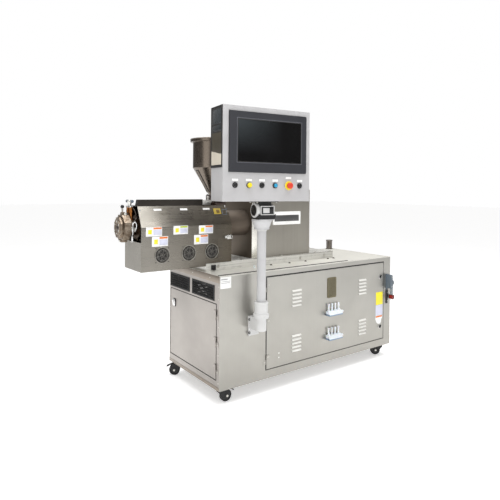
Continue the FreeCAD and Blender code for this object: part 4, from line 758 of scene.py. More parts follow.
def add_deck_dress():
    """Worktop screws and seams, bolts of the base channel, the small bracket and knob, rings of the post."""
    screws = Piece("deck_screws", "zinc", "steel_deck")
    screws.screws("deck", "z", [(50 + i * 202.0, 13, DECK_TOP) for i in range(9)]).done()
    bolts = Piece("channel_bolts", "zinc", "steel_deck")
    for x in (43.0, 330.0, 700.0, 1049.0, 1220.0):
        under_gearbox = 420.0 < x < 998.0
        bolts.bolts("z", 15.5, 5.4, [(x, y, CHANNEL_TOP) for y in ((222,) if under_gearbox else (222, 478))])
    bolts.bolts("-y", 13.0, 4.2, [(x, 210, 868) for x in (120.0, 520.0, 880.0, 1140.0)]).done()
    hook = Piece("channel_bracket", "black", "vent_black")
    hook.block(62, 203, 848, 98, 210, 880, 1.0).block(70, 188, 848, 90, 205, 852, 0.8).done()
    dark = Piece("deck_bolts", "post", "vent_black")
    dark.bolts("z", 12, 6, [(x, 176, 842) for x in (560.0, 740.0, 905.0, 1150.0, 1215.0)])
    dark.block(420, 203, CHANNEL_TOP, 1240, 206, 897, 0.3).done()
    line = Piece("worktop_seam", "gasket", "steel_deck")
    line.block(2, 24.2, 839.6, 1220, 26.6, 844.4, 0.1).block(1219.4, 26, 839.6, 1220.4, 674, 841.6, 0.1).done()
    knob = Piece("deck_knob", "white_plastic", "bank_white")
    profile = [(0, 0), (11, 0), (11, 3), (7, 6), (9, 12), (8, 17), (4, 19), (0, 19.3)]
    knob.lathe((380, 141, 842), "z", profile, 28).done()
    rim = Piece("worktop_edge", "deck", "steel_deck")
    rim.rod((2, 27, 841), (1219, 27, 841), 1.3, 10, 0.0).rod((1219, 27, 841), (1219, 673, 841), 1.3, 10, 0.0).done()
    collar = Piece("post_rings", "post", "chrome")
    collar.ring((1654, 656, 0), "z", [(24, 839.5), (34, 839.5), (34, 843), (28.8, 846), (24, 846)], 44)
    profile = [(0, 913), (30.6, 913), (31.6, 916), (31.4, 923), (29, 925), (0, 925.4)]
    collar.lathe((1654, 656, 0), "z", profile, 44).done()


# ---- barrel cover and die end ----
COVER_TAGS = ((-420, 1100, -310, 1158, "orange"), (-379, 1034, -268, 1097, "orange"), (-230, 1104, -124, 1160, "green"),
              (-41, 1100, 69, 1156, "orange"), (-78, 1031, 31, 1094, "orange"))


def add_cover_tags():
    """Blank tags: each a white plate with a yellow square at its left and a coloured strip at its top."""
    tags = tag_pieces("cover_tag", "cover_steel", "machine", "white yellow lilac orange green")
    y = COVER_FRONT
    for x0, z0, x1, z1, strip in COVER_TAGS:
        wide, tall = x1 - x0, z1 - z0
        middle, right = x0 + wide * 0.46, x1 - wide * 0.03
        tags["white"].block(x0, y - 0.5, z0, x1, y, z1, 0.2)
        tags["yellow"].block(x0 + wide * 0.13, y - 0.7, z0 + tall * 0.24,
                             x0 + wide * 0.36, y - 0.4, z0 + tall * 0.72, 0.1)
        tags[strip].block(middle, y - 0.7, z0 + tall * 0.76, right, y - 0.4, z1 - tall * 0.05, 0.1)
        tags["lilac"].block(middle, y - 0.65, z0 + tall * 0.12, right, y - 0.4, z0 + tall * 0.70, 0.1)
    for piece in tags.values():
        piece.done()
    small = Piece("slant_tags", "label_white", "cover_steel", frame_matrix=SLANT)
    for x in (-345.0, -156.0, 19.0):
        small.block(x, -0.5, 114, x + 55, 0, 128, 0.1)
    small.done()
    # Painted shade: the yellow tag on the slant is darkened to ochre as in shade.
    square = Piece("slant_tag_yellow_in_shade", "label_ochre", "cover_steel", frame_matrix=SLANT)
    square.block(101, -0.5, 80, 159, 0, 124, 0.2).done()
    mark = Piece("slant_tag_mark", "label_brown", "cover_steel", frame_matrix=SLANT)
    mark.block(122, -0.7, 88, 148, -0.3, 112, 0.1).done()


def add_cover_dress():
    """Toggle latch, screws and hems of the barrel cover, and the fans behind their guards."""
    add_cover_tags()
    plate = Piece("slant_plate", "cast", "cover_steel", frame_matrix=SLANT)
    plate.frame_ring("xz", (169, 74, 206, 114), (172, 77, 203, 111), -0.8, 0.0)
    plate.screws("cover", "-y", [(-438.0, 0, 118), (212.0, 0, 118)]).done()
    latch = Piece("toggle_latch", "handle", "cover_steel")
    latch.block(184, 197.6, 1054, 218, 200, 1081, 0.5)
    latch.block(160, 193.5, 1060, 196, 197.6, 1076, 1.2)
    latch.prism([(160, 193.5, 1061), (160, 186, 1061), (184, 193.5, 1061)], (0, 0, 14), 0.8)
    latch.wire([(190, 194, 1061), (204, 190, 1058), (222, 192, 1060), (224, 193, 1068), (222, 192, 1076),
                (204, 190, 1078), (190, 194, 1075)], 1.7)
    latch.rod((188, 193, 1056), (188, 193, 1080), 2.6, 14).done()
    hem = Piece("cover_hems", "cover", "cover_steel")
    for start, end, r in (((-449, 200.4, 879), (14, 200.4, 879), 1.4),
                          ((-449.6, 201, 880), (-449.6, 201, 1155), 1.3),
                          ((-449.6, 463, 880), (-449.6, 463, 1059), 1.3),
                          ((-449.4, 201, 1060.5), (-449.4, 464, 1060.5), 1.4)):
        hem.rod(start, end, r, 10, 0.0)
    hem.done()

    blades = Piece("fan_rotors", "black_plastic", "vent_black")
    for x in FAN_X:
        blades.lathe((x, 209, FAN_Z), "y", [(0, 0), (17, 0), (20.5, 3), (20.5, 21), (0, 21)], 32)
        for k in range(7):
            spoke = Matrix.Translation((x, 219, FAN_Z)) @ Matrix.Rotation(2 * math.pi * k / 7, 4, "Y")
            blades.inside(spoke @ Matrix.Rotation(math.radians(38), 4, "Z"))
            blades.prism([(-9, -0.8, 19), (9, -0.8, 19), (14, -0.8, 42), (-8, -0.8, 43)], (0, 1.6, 0))
        blades.inside(Matrix.Identity(4))
        blades.screws("fan", "-y", [(x + dx, 200, FAN_Z + dz) for dx in (-44, 44) for dz in (-44, 44)])
    blades.done()
    lap = Piece("cover_lap", "gasket", "cover_steel")
    lap.block(-440, 199.5, 1152.4, -224, 200, 1154.2, 0.1).done()
    dark = Piece("fan_backs", "grille", "vent_black")
    for x in FAN_X:
        dark.lathe((x, 235, FAN_Z), "y", [(0, 0), (46, 0), (46, 1.2), (0, 1.2)], 36)
    dark.done()
    rings = Piece("guard_wires", "guard_rim", "guard_wire")
    for x, (r, thick) in itertools.product(FAN_X, ((51.0, 1.3), (34.0, 0.9))):
        rings.wire([(x + r * c, 196.6, FAN_Z + r * s) for c, s in around(24, closed=True)], thick, 8, 2)
    rings.done()


def add_clamp_dress():
    """Die clamp: bolts, octagon face with its cross, ball knob and bright toggles."""
    y, z = BARREL_Y, BARREL_Z
    bolts = Piece("clamp_bolts", "zinc", "clamp_steel")
    bolts.hexagon((-506, 325, 1239), "-y", 19, 10).hexagon((-506, 375, 1239), "y", 19, 10)
    for c, s in around(6, 30):
        bolts.hexagon((-548, y + 37 * c, z + 37 * s), "-x", 10, 5)
    bolts.hexagon((-529, y, 1069), "-x", 15, 6)
    bolts.bolts("-y", 15, 7, [(-477, 278, 1140), (-457, 278, 1140)]).done()
    face = Piece("clamp_face", "die", "clamp_steel")
    face.prism([(-546, y + 64 * c, z + 69 * s) for c, s in around(8, 22.5)], (17, 0, 0), 3.5).done()
    # Painted shade: a dark cross on the die's face for the shade inside its cross-shaped hole.
    cross = Piece("die_cross_shade", "throat", "clamp_steel")
    for half_y, half_z in ((8, 25), (28, 8)):
        cross.block(-548.5, y - half_y, z - half_z, -547.6, y + half_y, z + half_z, 0.1)
    cross.done()
    ball = Piece("clamp_ball", "black_plastic", "clamp_steel")
    ball.lathe((-506, 375, 1283), "z", [(12.0 * s, -12.0 * c) for c, s in around(28)[:15]], 28).done()
    Piece("clamp_stem", "zinc", "clamp_steel").rod((-506, 375, 1249), (-506, 375, 1274), 5.6, 20).done()
    bright = Piece("die_toggles", "chrome", "clamp_steel")
    bright.rod((PROBE_X, 298, 1061), (PROBE_X, 298, 1124), 8.4, 24)
    bright.lathe((PROBE_X, 298, 1062), "z", [(0, 0), (15, 0), (15, 5), (10, 8), (0, 8)], 24)
    bright.block(-481, 266, 1122, -470, 276, 1186, 2.0)
    bright.wire([(-476, 268, 1180), (-470, 256, 1190), (-458, 258, 1176), (-456, 266, 1150), (-464, 268, 1128)], 3.2)
    bright.rod((-484, 276, 1152), (-449, 276, 1152), 4.2, 18)
    bright.lathe((-452, 276, 1152), "x", [(0, 0), (9, 0), (9, 7), (6, 9), (0, 9)], 24).done()


def add_probe_dress():
    """Melt probes with their cross handle, braided leads and the screws of the heater bands."""
    y, z = BARREL_Y, BARREL_Z
    bronze = Piece("probe_bodies", "bronze", "probe_bronze")
    profile = [(0, 1186), (8, 1186), (8, 1194), (12.5, 1194), (12.5, 1206), (11.4, 1208), (11.4, 1212), (12.8, 1214),
               (12.8, 1262), (11.2, 1265), (11.2, 1269), (12.8, 1271), (12.8, 1281), (0, 1281)]
    for side in (-22.0, 22.0):
        bronze.lathe((PROBE_X, y + side, 0), "z", profile, 32).hexagon((PROBE_X, y + side, 1196), "z", 25, 8)
    bronze.done()
    head = Piece("probe_cross", "handle", "probe_bronze")
    head.block(-480, y - 34, 1279, -454, y + 34, 1288, 2.5)
    profile = [(0, 1287), (11, 1287), (10, 1294), (13, 1306), (16, 1312), (16, 1322), (9, 1327), (0, 1328)]
    head.lathe((PROBE_X, y, 0), "z", profile, 32)
    head.rod((PROBE_X, y - 40, 1318), (PROBE_X, y + 40, 1318), 7.2, 22, 1.2).done(("melt_probes",))
    ends = Piece("probe_ends", "cast", "probe_bronze")
    for side in (-1, 1):
        profile = [(0, -side * 6), (9.4, -side * 6), (10, side * 2), (7.5, side * 7), (0, side * 8)]
        ends.lathe((PROBE_X, y + side * 42, 1318), "y", profile, 24)
    ends.done()
    leads = Piece("probe_leads", "braid", "heater_steel")
    leads.wire([(-458, 372, 1276), (-440, 388, 1262), (-432, 404, 1226), (-424, 420, 1180)], 4.2)
    leads.wire([(-458, 328, 1276), (-444, 318, 1258), (-438, 314, 1230), (-428, 326, 1212)], 4.2)
    leads.wire([(-470, 300, 1178), (-458, 288, 1196), (-444, 292, 1212), (-432, 306, 1220)], 3.6)
    arch = ((0, 345, 1252), (20, 342, 1262), (60, 352, 1258), (90, 372, 1236), (96, 398, 1190), (98, 420, 1120))
    for x in (-370.0, -205.0, -40.0):
        leads.wire([(x + along, across, height) for along, across, height in arch], 4.0)
    leads.done()
    nuts = Piece("band_screws", "zinc", "heater_steel")
    nuts.bolts("-y", 11, 5, [(x + dx, 336, 1064) for x in (-425.0, -260.0, -95.0) for dx in (28.0, 90.0)]).done()
    rim = Piece("clamp_rim", "die", "clamp_steel")
    rim.ring((-529, y, z), "x", [(58, -0.2), (69.4, -0.2), (70.6, -2.6), (66, -4.2), (58, -4.2)], 48)
    rim.ring((-548, y, z), "x", [(40, 0), (45.4, 0), (44.6, -2.0), (40, -2.0)], 48).done()


# ---- hopper, gearbox, feed ----
def add_hopper_dress():
    """Weld beads, rolled rim, neck bolts, ribbed strip on the cone, throat trim and the pellets inside."""
    hx, hy = HOPPER
    bead = Piece("hopper_beads", "hopper", "hopper_steel")
    for z, r, h in ((1552.0, 166.4, 1.6), (1734.0, 166.6, 1.8)):
        profile = [(r - 1, -2.4), (r + h * 0.5, -1.4), (r + h * 0.7, 0), (r + h * 0.5, 1.4), (r - 1, 2.4)]
        bead.ring((hx, hy, z), "z", profile, 96)
    bead.ring((hx, hy, 1755), "z", [(181.5, -3.5), (185.4, -3.5), (187.4, 0), (185.4, 2.4), (181.5, 2.4)], 96)
    bead.inside(Matrix.Translation((hx, hy, 0)) @ Matrix.Rotation(math.radians(60), 4, "Z"))
    bead.rod((166.2, 0, 1553), (166.2, 0, 1734), 1.8, 10, 0.0).done()
    slope = math.atan2(116.0, 195.0)
    cone = turned(turned(MACHINE, (hx, hy, 0), 178, "Z"), (50, 0, 1357), math.degrees(slope), "Y")
    strip = Piece("sight_strip", "sight", "sight_dark", frame_matrix=cone)
    strip.block(-3, -17, 22, 3.0, 17, 205, 1.0).done(("hopper_sight",))
    ribs = Piece("sight_ribs", "flange", "sight_dark", frame_matrix=cone)
    for off in (-14.0, -4.7, 4.7, 14.0):
        ribs.rod((3.0, off, 26), (3.0, off, 201), 2.0, 12)
    ribs.done()
    bolts = Piece("neck_bolts", "zinc", "gate_steel")
    corners = itertools.product((-44, 44), (-44, 44), (1357, 1237))
    bolts.bolts("z", 10, 5, [(hx + dx, hy + dy, z) for dx, dy, z in corners]).done()
    # Painted highlight: the gate's trim and knob are near-white where they catch the light.
    gate = Piece("gate_trim", "bright_edge", "gate_steel")
    gate.block(78.4, 327.5, 1289.4, 129.6, 372.5, 1323.6, 2.5)
    gate.lathe((117, 350, 1323), "z", [(0, 0), (7, 0), (5, 4), (5, 13), (8.5, 17), (9.5, 22), (7, 27), (0, 29)], 24)
    gate.rod((86, 328, 1306), (86, 316, 1306), 5.4, 20).rod((104, 328, 1306), (104, 320, 1306), 4.0, 20).done()
    shroud = Piece("throat_shroud", "throat", "gate_steel").block(134, 264, 1288, 214, 292, 1303, 3.0)
    for x in (142, 206):
        shroud.rod((x, 278, 1303), (x, 278, 1309), 5.0, 20)
    shroud.done()
    heap = ((0.01, 1655.0), (50.0, 1648.0), (100.0, 1630.0), (140.0, 1612.0), (161.0, 1604.0), (161.0, 1590.0))
    pile = Piece("pellets", "pellets", "hopper_steel")
    pile.skin([[Vector((hx + r * c, hy + r * s, h)) for c, s in around(64)] for r, h in heap]).done()


def add_gearbox_dress():
    """Cover bolts, top bolts, a painted highlight on the front's left corner, painted shade on the left side, the lid,
    and the rim and fields of the blank plate.
    """
    bolts = Piece("gearbox_bolts", "zinc", "gear_steel")
    bolts.bolts("x", 13, 7, [(1012, BARREL_Y + 74 * c, BARREL_Z + 74 * s) for c, s in around(8, 22.5)])
    bolts.bolts("z", 15, 8, [(x, y, 1404) for x in (450.0, 700.0, 968.0) for y in (258.0, 562.0)]).done()
    # Painted highlight: bright strip down the front's left corner.
    Piece("gearbox_painted_highlight", "gear_edge", "gear_steel").block(421, 229.0, 897, 470, 230, 1398, 0.4).done()
    # Painted shade: dark brown sheet over the gearbox's left side.
    Piece("gearbox_painted_shade", "gear_side", "gear_steel").block(418.6, 231, 897, 420.2, 589, 1399, 0.5).done()
    lid = Piece("gearbox_lid", "gearbox", "gear_steel")
    lid.frame_ring("xy", (424, 234, 994, 586), (476, 286, 942, 534), 1400, 1404)
    lid.block(421, 231, CHANNEL_TOP, 997, 589, 898, 0.8).done()
    plate = Piece("nameplate", "label_white", "plate_blank")
    plate.frame_ring("xz", (615, 1133, 894, 1233), (623, 1141, 886, 1225), 226.4, 229.9).done()
    Piece("nameplate_field", "label_white", "plate_blank").block(622, 227.4, 1140, 887, 229.6, 1226, 0.2).done()
    Piece("nameplate_band", "plate_band", "plate_blank").block(632, 226.9, 1158, 877, 227.5, 1206, 0.2).done()
    rivets = Piece("nameplate_rivets", "zinc", "plate_blank")
    rivets.screws("rivet", "-y", [(x, 226.4, z) for x in (619.0, 890.0) for z in (1137.0, 1229.0)]).done()


# ---- arm and control panel ----
def add_arm_dress():
    """Bracket screws and seams, joint caps, and the black band of the tilt joint."""
    screws = Piece("bracket_screws", "black_plastic", "arm_white")
    profile = [(0, 0), (8.2, 0), (8.2, -5), (7.2, -6.2), (3.6, -6.2), (3.4, -3.5), (0, -3.5)]
    for x, z in itertools.product((227.5, 304.5), (446.0, 534.0)):
        screws.lathe((x, -12, z), "y", profile, 24)
    screws.done()
    rings = Piece("arm_rings", "bracket", "arm_white")
    rings.ring((ARM_X, ARM_Y, 0), "z", [(26, 575), (53, 575), (54, 578), (53, 583), (45, 589), (45, 649), (47, 653),
                                        (47, 661), (44, 665), (26, 665)], 64)
    rings.ring((ARM_X, ARM_Y, 0), "z", [(26, 1128), (31, 1128), (33.4, 1131), (33.4, 1137), (31, 1139.4),
                                        (26, 1139.4)], 64).done()
    joint = (0, 0, 1264)                  # the tilt joint's middle
    white = Piece("joint_ring", "bracket", "arm_white", "arm_head", PANEL)
    white.lathe(joint, "x", [(30, -52), (30, -61), (41, -62), (47, -60), (48.5, -56), (48.5, -40), (44, -38.6),
                             (30, -38.6)], 64)
    white.lathe(joint, "x", [(0, 71), (30, 71), (41, 72), (44, 69), (44, 58), (0, 58)], 64)
    white.block(-18, -49.5, 1248, 30, -46, 1281, 1.6)
    white.frame_ring("xz", (-37, 1235, 67, 1294), (-31, 1240, 61, 1289), -50.5, -42).done()
    dark = Piece("joint_black", "black_plastic", "button_black", "arm_head", PANEL)
    dark.lathe(joint, "x", [(0, -64.5), (9, -64.5), (11, -62), (24, -60.5), (28, -63), (36, -63), (38, -60.5),
                            (38, -52), (0, -52)], 64)
    dark.block(-34, -48, 1238, 60, -42, 1291, 1.0)
    dark.prism([(-57, -50, 1207), (-57, 50, 1207), (-50, 50, 1239), (-50, -50, 1239)], (128, 0, 0), 1.5).done()
    collar = Piece("head_collar", "arm", "arm_white", "arm_head", PANEL)
    collar.lathe((0, 0, 0), "z", [(30, 1189), (65.4, 1189), (66.6, 1191), (66.6, 1204), (65, 1206.6), (30, 1206.6)], 72)
    collar.ring((0, 0, 0), "z", [(34, 1140.6), (49.4, 1140.6), (50.8, 1143), (50.8, 1147), (48, 1149.5),
                                 (34, 1149.5)], 64).done()
    foot = Piece("panel_foot_bolts", "zinc", "arm_white", "panel", PANEL)
    foot.bolts("-z", 10, 5, [(w, d, 1319) for w in (-62.0, 80.0) for d in (-46.0, 46.0)]).done()


OPERATORS = ((-250.0, "black_plastic", "button_black"), (-153.0, "yellow_plastic", "button_yellow"),
             (-60.0, "black_plastic", "button_black"), (37.0, "blue_plastic", "button_blue"),
             (225.0, "black_plastic", "button_grey"))
BIG_OPERATOR = 2                          # the yellow mushroom
STOP_X, OPERATOR_Z = 139, 1427


def add_operators():
    """Rings and caps of the push buttons, the stop button on its plate, and the blank legends over them."""
    for number, (w, finish, slot) in enumerate(OPERATORS, 1):
        wide, reach = (15.5, 6.0) if number == BIG_OPERATOR else (12.2, 1.4)
        bore = wide + 0.7
        ring = Piece("operator_ring_%d" % number, "black_plastic", slot, "panel", PANEL)
        ring.ring((w, 0, OPERATOR_Z), "y", [(bore, -102), (18.5, -102), (18.5, -104), (max(16.6, bore + 1.2), -108.6),
                                            (bore + 0.5, -109.4), (bore, -108.6)], 48).done()
        cap = Piece("operator_cap_%d" % number, finish, slot, "push_button_%d" % number, PANEL)
        cap.lathe((w, 0, OPERATOR_Z), "y", [(0, -110.5), (wide - 1, -110.5), (wide, -112), (wide, -114 - reach * 0.4),
                                            (wide - 1.6, -115.4 - reach * 0.8), (wide * 0.6, -115.6 - reach),
                                            (0, -116.0 - reach)], 48).done()
    plate = Piece("stop_plate", "yellow_plastic", "stop_red", "panel", PANEL)
    plate.ring((STOP_X, 0, OPERATOR_Z), "y", [(9.4, -105.8), (27, -105.8), (29.5, -107), (27, -108.6), (12, -108.8),
                                              (9.4, -108)], 56).done()
    head = Piece("stop_head", "red_plastic", "stop_red", "stop_button", PANEL)
    head.lathe((STOP_X, 0, OPERATOR_Z), "y", [(0, -114), (12, -114), (20.6, -118), (21.4, -122), (20.6, -128),
                                              (16, -132.4), (8, -133.6), (0, -133.8)], 56).done()
    legends = Piece("legends", "label_white", "panel_paint", "panel", PANEL)
    for w, *_ in OPERATORS:
        legends.block(w - 21, -104.4, 1451, w + 21, -103, 1466, 0.5)
    legends.block(STOP_X - 21, -103.2, 1470, STOP_X + 21, -101.8, 1484, 0.5).done()


def add_panel_dress():
    """Display lip with a painted glint round its edge, the side's painted reflection in dark, olive and beige zones
    within a black frame, and the case's screws and back.
    """
    add_operators()
    lip = Piece("display_lip", "black", "bezel_dark", "panel", PANEL)
    lip.frame_ring("xz", (-240, 1569, 232, 1840), (-235, 1574, 227, 1835), -111.8, -109.0)
    lip.frame_ring("xz", (-296, 1506, 274, 1886), (-293, 1509, 271, 1883), -104.0, -102.0).done()
    # Painted highlight: a lighter grey ring round the display for a glint on the bezel's edge.
    glint = Piece("display_painted_glint", "bezel_edge", "bezel_dark", "panel", PANEL)
    glint.frame_ring("xz", (-243.5, 1565.5, 235.5, 1843.5), (-240, 1569, 232, 1840), -111.6, -110.0).done()

    # Painted reflection: the panel's side is drawn as flat zones, dark at the top, olive ribs in the middle and beige
    # below a slanted edge, within a black frame.
    side = Piece("side_frame", "black", "vent_black", "panel", PANEL)
    side.frame_ring("yz", (-96, 1534, 74, 1917), (-86, 1550, 64, 1906), -337.5, -334.0)
    side.block(-336.4, -86, 1756, -334, 64, 1906, 0.2).block(-337.2, -86, 1752, -334, 64, 1757, 0.4).done()
    side = Piece("side_dark_reflection", "screen", "vent_black", "panel", PANEL)
    side.block(-337.0, -80, 1806, -336.2, 56, 1898, 0.3).block(-337.0, -80, 1764, -336.2, 56, 1796, 0.3).done()
    side = Piece("side_ribs", "side_mesh", "mesh_olive", "panel", PANEL)
    side.block(-335.2, -86, 1620, -334, 64, 1752, 0.0)
    for d in steps(-82.0, 62.0, 7.4):
        side.block(-336.6, d, 1620, -335.0, d + 3.2, 1752, 0.3)
    side.done()
    side = Piece("side_plate", "panel_beige", "panel_paint", "panel", PANEL)
    side.prism([(-336.8, -86, 1551), (-336.8, 64, 1551), (-336.8, 64, 1640), (-336.8, -86, 1614)], (2.8, 0, 0)).done()
    case = Piece("case_screws", "zinc", "panel_paint", "panel", PANEL)
    case.screws("case", "y", [(w, 76, z) for w in (-320.0, 292.0) for z in (1340.0, 1903.0)])
    for w in (-274.0, 246.0):
        case.lathe((w, 0, 1925), "z", [(0, -7.5), (7.6, -7.5), (7.6, -3), (5.4, 0), (0, 0)], 24)
    case.done()
    back = Piece("case_back", "panel", "panel_paint", "panel", PANEL)
    back.block(-300, 76, 1360, 272, 78.4, 1884, 1.0).done()


# ---- disconnect, casters, inside ----
def add_disconnect_dress():
    """Raised lid, disc rim, black flange bar, and the lever's grip with its padlock ring."""
    y, z = -26, 626                       # the lever's axis
    lid = Piece("disconnect_lid", "cast", "switch_grey")
    lid.block(1669, -51, 586, 1691, -47.5, 682, 1.4)
    lid.block(1692, -42, 660, 1697, -6, 684, 1.6)
    lid.ring((1702, y, z), "x", [(18, -1), (27.6, -1), (27.6, 1.2), (25, 2.2), (18, 2.2)], 40)
    lid.block(1661, -5, 572, 1667, 0, 696, 1.0).done()
    screws = Piece("disconnect_screws", "zinc", "switch_grey")
    screws.screws("cover", "-y", [(1680, -51, 593.0), (1680, -51, 675.0)])
    screws.screws("bar", "-y", [(1673, -8.6, 470.0), (1673, -8.6, 540.0)]).done()
    Piece("flange_bar", "black", "switch_grey").block(1665.3, -8.7, 447.3, 1680.7, -0.1, 561.7, 1.0).done()
    lever = Piece("lever_arm", "lever", "switch_grey", "disconnect_handle")
    lever.block(1702.9, -39.6, 517, 1712.1, -12.4, 628, 2.4)
    lever.lathe((1712, y, z), "x", [(0, 0), (15, 0), (15, 3), (11, 5), (0, 5)], 32).done()
    grip = Piece("lever_grip", "grip_red", "stop_red", "disconnect_handle")
    grip.block(1694.0, -46, 485, 1712.0, -6.4, 519, 5.0).done()
    grip = Piece("lever_end", "black_plastic", "button_black", "disconnect_handle")
    grip.block(1711.0, -45, 487, 1721.5, -7.4, 517, 3.5).done()
    ring = Piece("padlock_ring", "lever", "switch_grey", "disconnect_handle")
    ring.wire([(1707, y + 9 * s, 475 + 11 * c) for c, s in around(16, closed=True)], 2.0, 10, 3).done()


CASTERS = (("fl", 54.0, 64.0, 180.0), ("fr", 1666.0, 64.0, -36.0),
           ("rl", 54.0, 636.0, -36.0), ("rr", 1666.0, 636.0, -25.0))
TRAIL, AXLE_Z = -38, 40                   # a wheel's axle in its fork's frame


def add_caster_dress():
    """Hub discs with spokes, tread ribs, axle nuts, races and pedals, and the bolts of the plates."""
    for name, x, y, rest in CASTERS:
        frame_matrix = turned(MACHINE, (x, y, 0), rest, "Z")
        wheel, fork = "caster_wheel_" + name, "caster_fork_" + name
        hub = Piece("caster_hub_" + name, "black_plastic", "caster_rubber", wheel, frame_matrix)
        for side in (-1, 1):
            profile = [(5, 0), (29.5, 0), (29.5, side * 2.2), (27, side * 3.6), (16, side * 2.4), (13, side * 4.4),
                       (5, side * 4.4)]
            hub.ring((TRAIL, side * 11.0, AXLE_Z), "y", profile, 40)
            for k in range(8):
                turn = Matrix.Rotation(k * math.pi / 4, 4, "Y")
                hub.inside(Matrix.Translation((TRAIL, side * 12.8, AXLE_Z)) @ turn)
                hub.block(-1.6, -1.8, 14, 1.6, 1.8, 28, 0.5)
            hub.inside(Matrix.Identity(4))
        hub.done()
        tread = Piece("caster_tread_" + name, "rubber", "caster_rubber", wheel, frame_matrix)
        for side in (-1, 0, 1):
            tread.ring((TRAIL, side * 7.0, AXLE_Z), "y", [(38.6, -2.6), (39.9, -2.2), (39.9, 2.2), (38.6, 2.6)], 56)
        tread.done()
        metal = Piece("caster_metal_" + name, "zinc", "caster_steel", fork, frame_matrix)
        metal.hexagon((TRAIL, -20, AXLE_Z), "-y", 15, 6).hexagon((TRAIL, 20, AXLE_Z), "y", 15, 6)
        metal.lathe((0, 0, 0), "z", [(20, 84), (25.4, 84), (26.6, 86), (26.6, 90), (24, 91.6), (20, 91.6)], 40).done()
        pedal = Piece("caster_pedal_" + name, "black_plastic", "caster_steel", fork, frame_matrix)
        pedal.prism([(-56, -14, 86.4), (-56, -14, 81), (-96, -14, 61), (-99, -14, 66)], (0, 28, 0), 1.0)
        for step in (0.0, 7.0, 14.0):
            pedal.block(-95 + step, -13, 68.4 + step * 0.5, -92 + step, 13, 70.4 + step * 0.5, 0.4)
        pedal.done()
        plate = Piece("caster_bolts_" + name, "zinc", "caster_steel")
        plate.bolts("-z", 10, 4, [(x + dx, y + dy, 95) for dx in (-36.0, 36.0) for dy in (-27.0, 27.0)]).done()


def add_inside_dress():
    """Motor ribs, drive belt runs, wiring ducts, module fronts and main cables."""
    y, z = 390, 297                       # the motor's axis
    ribs = Piece("motor_ribs", "motor", "motor_paint")
    for i in range(13):
        ribs.ring((784 + i * 29.0, y, z), "x", [(127, 0), (137, 0), (137, 5), (127, 5)], 48)
    ribs.ring((1250, y, z), "x", [(90, 0), (104, 0), (104, 3), (90, 3)], 40).done()
    belts = Piece("drive_belts", "rubber", "heater_steel")
    for x, side in itertools.product((684.0, 695.0, 706.0), (-1, 1)):
        belts.rod((x, y + side * 62, z), (x, 350 + side * 62, 800), 5.0, 12, 0.0)
    belts.done()
    ducts = Piece("wire_ducts", "duct", "frame_paint")
    for z in (192.0, 384.0, 574.0, 700.0):
        ducts.block(1190, 616, z, 1630, 653, z + 4, 0.3)
        ducts.block(1190, 616, z + 20, 1630, 618.5, z + 24, 0.3)
        for x in steps(1192.0, 1626.0, 10.0):
            ducts.block(x, 616.5, z + 4, x + 5, 618.5, z + 20, 0.0)
    ducts.done()
    fronts = Piece("module_fronts", "label_white", "frame_paint")
    marks = Piece("module_marks", "label_orange", "frame_paint")
    for row, (depth, wide) in enumerate(((90, 60), (70, 45), (60, 30))):
        y, z0 = 653 - depth, 213 + row * 190
        for k in range(400 // (wide + 6)):
            x = 1210 + k * (wide + 6)
            fronts.block(x + 3, y - 3, z0 + 30, x + wide - 3, y, z0 + 80, 0.6)
            marks.block(x + wide * 0.35, y - 5, z0 + 50, x + wide * 0.65, y - 2, z0 + 62, 0.4)
    fronts.done()
    marks.done()
    cable = Piece("main_cables", "gasket", "vent_black")
    for i in range(4):
        cable.wire([(1500 + i * 22, 640, 180), (1480 + i * 18, 560, 160), (1360, 470 + i * 12, 152),
                    (1200, 450 + i * 12, 152), (1010, 430 + i * 14, 470), (950 + i * 10, 400, 492)], 5.0)
    cable.done()


for add_dress in (add_door_dress, add_end_dress, add_deck_dress, add_cover_dress, add_clamp_dress, add_probe_dress,
                  add_hopper_dress, add_gearbox_dress, add_arm_dress, add_panel_dress, add_disconnect_dress,
                  add_caster_dress, add_inside_dress):
    add_dress()


# ---- camera, floor and light ----
CAMERA_PLACE = at(-1644.0, -2573.0, 1400.0)
CAMERA_YAW = 53.89                    # degrees from +X to the line of sight
CAMERA_ROLL = 0.5
CAMERA_LENS = 34.27
CAMERA_SHIFT_Y = -0.121


def add_camera():
    """Level camera at the front left, with the photograph's framing."""
    data = bpy.data.cameras.new("camera")
    data.lens = CAMERA_LENS
    data.sensor_width = 36.0
    data.shift_y = CAMERA_SHIFT_Y
    camera = bpy.data.objects.new("camera", data)
    bpy.context.scene.collection.objects.link(camera)
    yaw = math.radians(CAMERA_YAW)
    ahead = Vector((math.cos(yaw), math.sin(yaw), 0.0))
    turn = ahead.to_track_quat("-Z", "Y").to_matrix().to_4x4()
    roll = Matrix.Rotation(math.radians(CAMERA_ROLL), 4, "Z")
    camera.matrix_world = Matrix.Translation(CAMERA_PLACE) @ turn @ roll
    bpy.context.scene.camera = camera


def add_floor():
    """Wide pale floor."""
    data = bpy.data.meshes.new("floor")
    half = 40.0
    corners = [(-half, -half, 0), (half, -half, 0), (half, half, 0), (-half, half, 0)]
    data.from_pydata(corners, [], [(0, 1, 2, 3)])
    floor = bpy.data.objects.new("floor", data)
    bpy.context.scene.collection.objects.link(floor)
    s = Shader("floor_paint")
    mottle = s.noise(s.place, 3.0, 4.0, 0.5)
    s.set("Base Color", s.mix(s.ramp(mottle, 0.0, 1.0), (0.93, 0.93, 0.93, 1.0), (0.95, 0.95, 0.95, 1.0)))
    s.set("Roughness", s.ramp(mottle, 0.75, 0.85))
    s.set("Specular IOR Level", 0.1)
    s.set("Emission Color", (1.0, 1.0, 1.0, 1.0))
    s.set("Emission Strength", 0.42)
    data.materials.append(s.material)


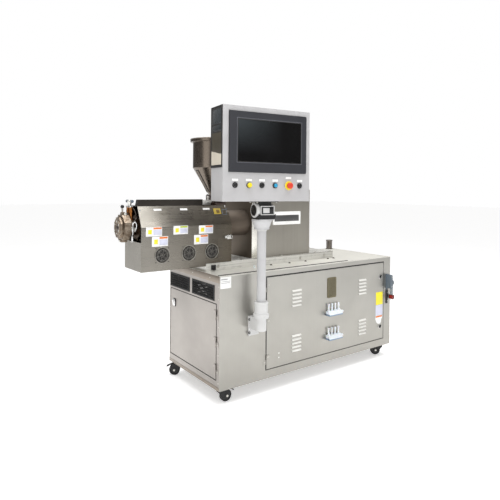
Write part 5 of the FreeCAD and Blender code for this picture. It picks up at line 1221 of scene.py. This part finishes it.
def area_light(name, place, target, size, power, color=(1.0, 1.0, 1.0)):
    """Rectangular soft light aimed at a point."""
    data = bpy.data.lights.new(name, "AREA")
    data.shape = "RECTANGLE"
    data.size, data.size_y = size
    data.energy = power
    data.color = color
    light = bpy.data.objects.new(name, data)
    light.location = place
    light.rotation_mode = "QUATERNION"
    light.rotation_quaternion = (Vector(target) - Vector(place)).to_track_quat("-Z", "Y")
    bpy.context.scene.collection.objects.link(light)


def add_light():
    """White studio: soft boxes above and in front, and a pale surround that is darker low down."""
    area_light("top_box", (0.0, 0.0, 4.2), (0.0, 0.0, 0.8), (4.5, 3.5), 190.0)
    area_light("front_box", (-1.2, -4.6, 2.6), (0.0, 0.0, 0.8), (3.0, 2.4), 45.0)
    area_light("left_box", (-4.8, -0.6, 2.2), (-0.4, 0.0, 0.8), (2.6, 2.4), 24.0, (1.0, 0.98, 0.95))
    area_light("slant_box", (0.05, -1.85, 3.35), (-0.99, 0.0, 1.22), (0.9, 0.9), 9.0)
    world = bpy.data.worlds.new("studio")
    world.use_nodes = True
    tree = world.node_tree
    tree.nodes.clear()
    out = tree.nodes.new("ShaderNodeOutputWorld")
    seen = tree.nodes.new("ShaderNodeBackground")
    seen.inputs["Color"].default_value = (1.0, 1.0, 1.0, 1.0)
    lit = tree.nodes.new("ShaderNodeBackground")
    coord = tree.nodes.new("ShaderNodeTexCoord")
    split = tree.nodes.new("ShaderNodeSeparateXYZ")
    ramp = tree.nodes.new("ShaderNodeValToRGB")
    tree.links.new(coord.outputs["Generated"], split.inputs[0])
    tree.links.new(split.outputs["Z"], ramp.inputs["Fac"])
    stops = ramp.color_ramp.elements
    stops[0].position, stops[0].color = 0.0, (0.16, 0.155, 0.15, 1.0)
    stops[1].position, stops[1].color = 0.75, (0.75, 0.75, 0.75, 1.0)
    middle = stops.new(0.35)
    middle.color = (0.26, 0.255, 0.25, 1.0)
    tree.links.new(ramp.outputs["Color"], lit.inputs["Color"])
    path = tree.nodes.new("ShaderNodeLightPath")
    pick = tree.nodes.new("ShaderNodeMixShader")
    tree.links.new(path.outputs["Is Camera Ray"], pick.inputs[0])
    tree.links.new(lit.outputs[0], pick.inputs[1])
    tree.links.new(seen.outputs[0], pick.inputs[2])
    tree.links.new(pick.outputs[0], out.inputs[0])
    bpy.context.scene.world = world


add_camera()
add_floor()
add_light()
bpy.context.scene.view_settings.view_transform = "Standard"
